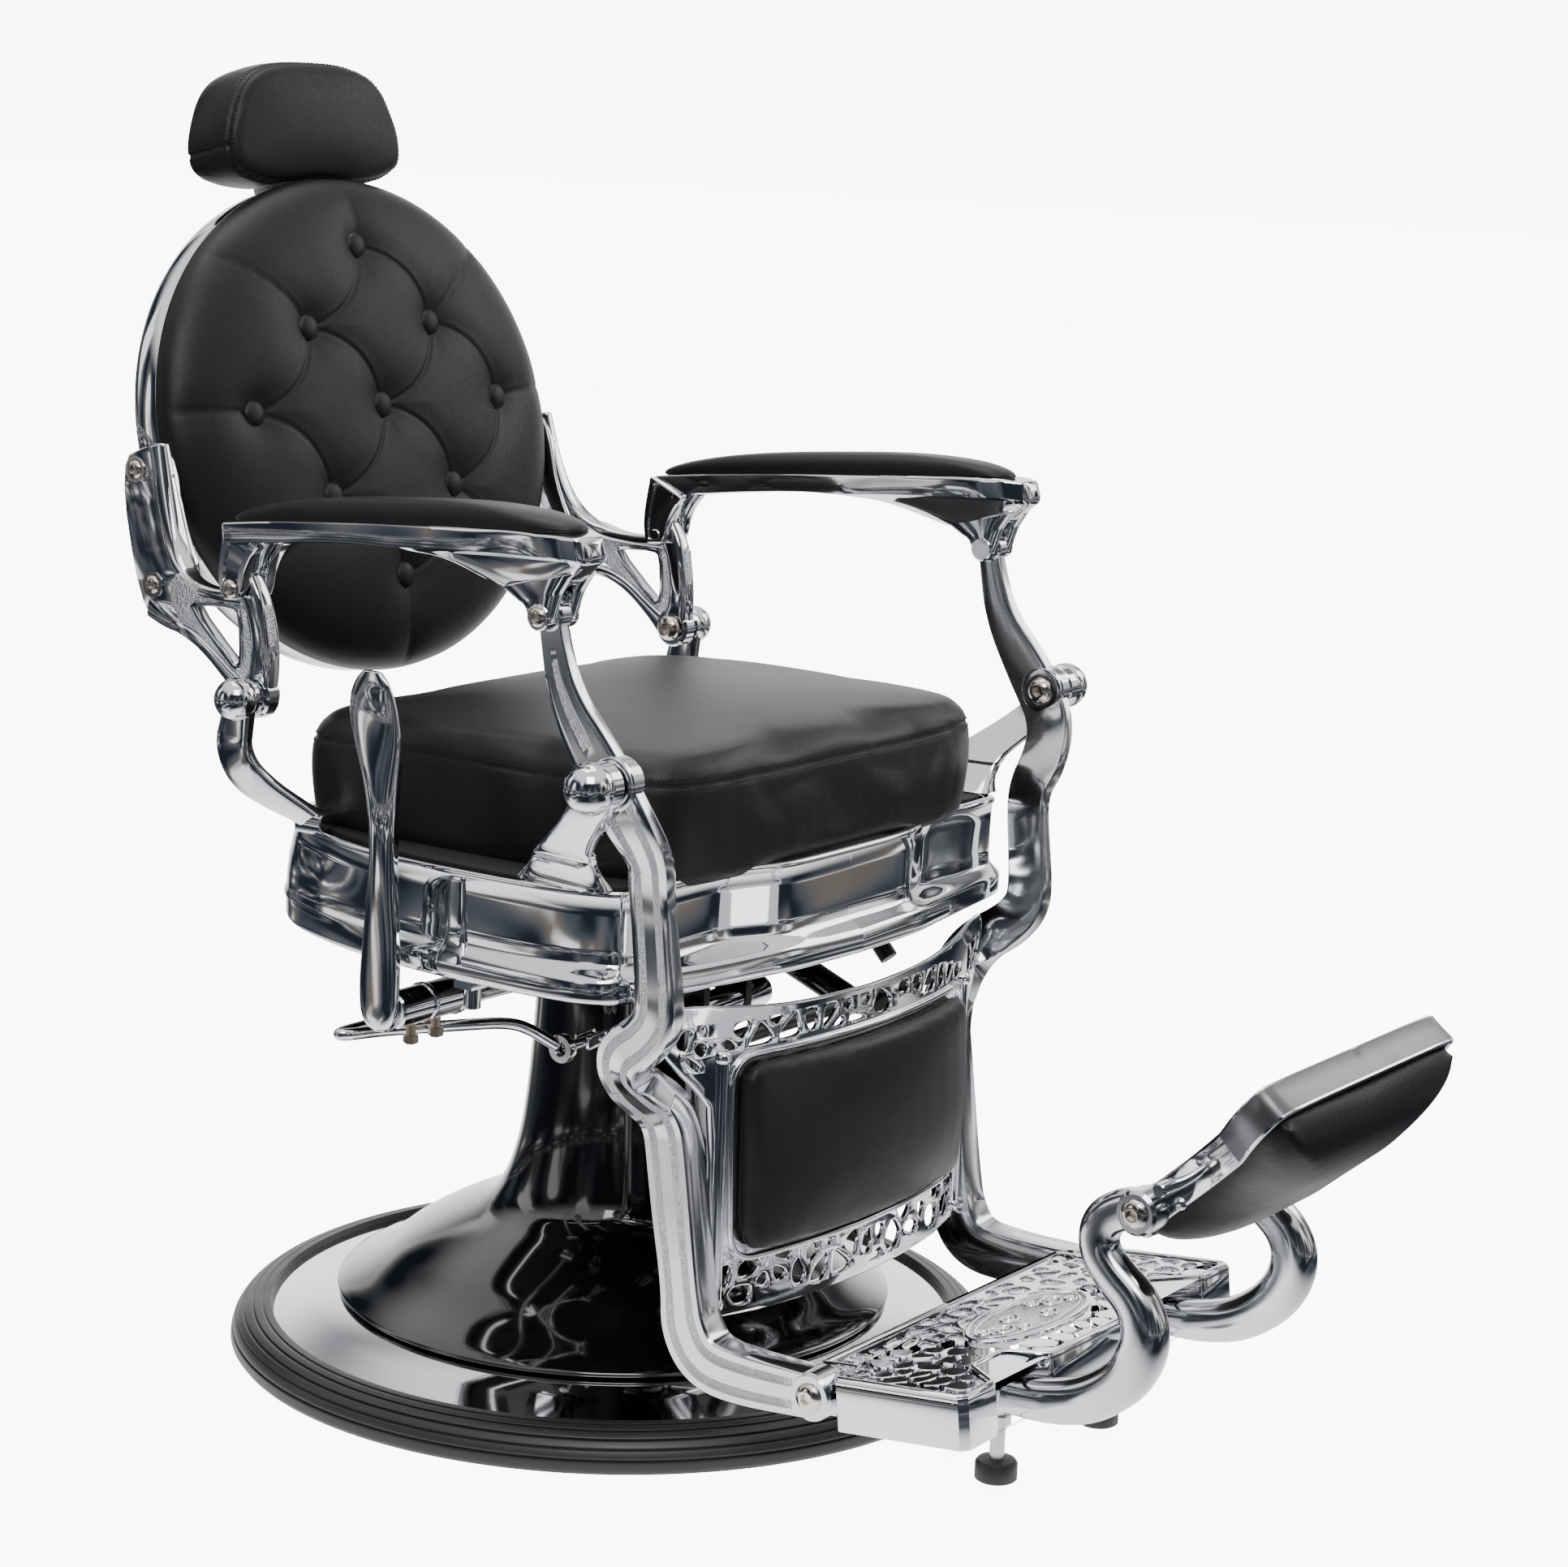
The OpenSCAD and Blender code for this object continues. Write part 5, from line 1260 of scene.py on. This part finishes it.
make_base()
make_seat_frame()
make_cushion()
make_pivot_screws()
make_pump_lever()
make_recline_lever()
make_back_pad()
make_back_shell()
make_bracket_screws()
make_headrest()
make_panel()
make_calf_pad()
make_footplate()
make_flip_rest()
for label, sign in SIDES.items():
    make_supports(label, sign)
    make_back_bracket(label, sign)
    make_armrest(label, sign)
    make_leg_bar(label, sign)
    make_foot_arm(label, sign)

node_slots = {p["node"]: p["material_slot"] for p in frame["record"]["subparts"]}
for node_name, node_obj in frame["nodes"].items():
    if not node_obj.hide_render:
        node_obj.data.materials.clear()
        node_obj.data.materials.append(MAT.get(node_slots[node_name], MAT["black_board"]))

# ---------- studio ----------

CAMERA_SIDE = (-0.81, -0.58, 0)
BACKDROP = 9
WHITE = (2.2, 2.2, 2.25, 1)
# position and colour of the mirrored room's walls, shelves, warm patches and windows
ROOM = [(0.44, (0.020, 0.026, 0.038, 1)), (0.52, (0.10, 0.115, 0.14, 1)), (0.59, (0.22, 0.19, 0.16, 1)),
        (0.66, (1.6, 1.6, 1.65, 1))]


def smooth_step(tree, value, low, high):
    """A node that rises smoothly from 0 to 1 between two values."""
    return add_node(tree, "MapRange", interpolation_type="SMOOTHSTEP", Value=value, From_Min=low,
                    From_Max=high)["Result"]


def studio(tree, where, stretch, scale, near_and_far=None):
    """Colour of the mirrored studio: white behind the chair, and a dark room with windows on the camera side."""
    unit = add_node(tree, "VectorMath", where, operation="NORMALIZE")["Vector"]
    toward = add_node(tree, "VectorMath", unit, CAMERA_SIDE, operation="DOT_PRODUCT")["Value"]
    share = smooth_step(tree, toward, -0.95, -0.76)
    if near_and_far:
        reach = add_node(tree, "VectorMath", where, operation="LENGTH")["Value"]
        far = smooth_step(tree, reach, *near_and_far)
        share = add_node(tree, "Math", share, far, operation="MULTIPLY")["Value"]
    stretched = add_node(tree, "VectorMath", where, stretch, operation="MULTIPLY")["Vector"]
    blotch = add_node(tree, "TexNoise", Vector=stretched, Scale=scale, Detail=1.5)["Fac"]
    panes = add_node(tree, "ValToRGB", Fac=blotch)["Color"]
    stops = panes.node.color_ramp.elements
    for i, (position, colour) in enumerate(ROOM):
        stop = stops[i] if i < len(stops) else stops.new(position)
        stop.position, stop.color = position, colour
    return add_node(tree, "MixRGB", Fac=share, Color1=WHITE, Color2=panes)["Color"]


def by_ray(tree, plain, seen_by_camera, seen_in_mirrors):
    """Picks a shader by what looks at it: the camera, a mirror or anything else."""
    ray = add_node(tree, "LightPath")
    direct = add_node(tree, "MixShader", ray["Is Camera Ray"], plain, seen_by_camera)["Shader"]
    return add_node(tree, "MixShader", ray["Is Glossy Ray"], direct, seen_in_mirrors)["Shader"]


def make_stage():
    """Pale floor, white backdrop and three soft lamps."""
    bpy.ops.mesh.primitive_plane_add(size=60)
    floor = bpy.context.object
    floor.name = "studio_floor"
    pale = material("floor_pale", (0.93, 0.93, 0.93), 0, 0.8, 0.02, 2, specular=0.1, tint=(0.92, 0.92, 0.925))
    tree = pale.node_tree
    place = add_node(tree, "NewGeometry")["Position"]
    mirrored = add_node(tree, "Emission", Color=studio(tree, place, (1, 1, 1), 1.1, (0.48, 1.0)))["Emission"]
    plain = tree.nodes["Principled BSDF"].outputs["BSDF"]
    glow = add_node(tree, "Emission", Color=(1, 1, 1, 1), Strength=BACKDROP)["Emission"]
    lit = add_node(tree, "AddShader", plain, glow)["Shader"]
    tree.links.new(by_ray(tree, plain, lit, mirrored), tree.nodes["Material Output"].inputs["Surface"])
    floor.data.materials.append(pale)

    world = bpy.context.scene.world or bpy.data.worlds.new("studio")
    bpy.context.scene.world = world
    world.use_nodes = True
    tree = world.node_tree
    tree.nodes.clear()
    where = add_node(tree, "TexCoord")["Generated"]
    up = add_node(tree, "SeparateXYZ", Vector=where)["Z"]
    ceiling = add_node(tree, "MixRGB", Fac=smooth_step(tree, up, 0.45, 0.72),
                       Color1=studio(tree, where, (1, 1, 0.3), 3.2), Color2=(1.2, 1.2, 1.22, 1))["Color"]
    mirrored = add_node(tree, "Background", Color=ceiling)["Background"]
    plain = add_node(tree, "Background", Strength=0.7)["Background"]
    backdrop = add_node(tree, "Background", Color=(1, 1, 1, 1), Strength=BACKDROP)["Background"]
    add_node(tree, "OutputWorld", Surface=by_ray(tree, plain, backdrop, mirrored))
    for name, at, size, power in (("key", (-1.6, -1.4, 2.6), 1.4, 42), ("fill", (2.2, -1.2, 1.8), 1.2, 16),
                                  ("top", (0.2, 0.4, 3.0), 1.6, 28)):
        lamp = bpy.data.lights.new(name, "AREA")
        lamp.energy, lamp.size = power, size
        holder = bpy.data.objects.new(name, lamp)
        bpy.context.collection.objects.link(holder)
        holder.location = at
        holder.rotation_euler = (Vector((0, 0, 0.5)) - Vector(at)).to_track_quat("-Z", "Y").to_euler()


def make_camera():
    """The photograph's viewpoint: azimuth, elevation and roll in degrees."""
    az, el, roll = math.radians(-55.05), math.radians(11.02), math.radians(2.17)
    ahead = Vector((-math.sin(az) * math.cos(el), math.cos(az) * math.cos(el), -math.sin(el)))
    level = Vector((math.cos(az), math.sin(az), 0))
    up = level.cross(ahead)
    right = level * math.cos(roll) + up * math.sin(roll)
    up = up * math.cos(roll) - level * math.sin(roll)
    data = bpy.data.cameras.new("photo_view")
    data.sensor_width, data.lens = 36, 81.5
    cam = bpy.data.objects.new("photo_view", data)
    bpy.context.collection.objects.link(cam)
    rotation = Matrix((right, up, -ahead)).transposed()
    cam.matrix_world = Matrix.Translation(Vector((-2.3461, -1.8006, 1.0694))) @ rotation.to_4x4()
    bpy.context.scene.camera = cam


make_stage()
make_camera()
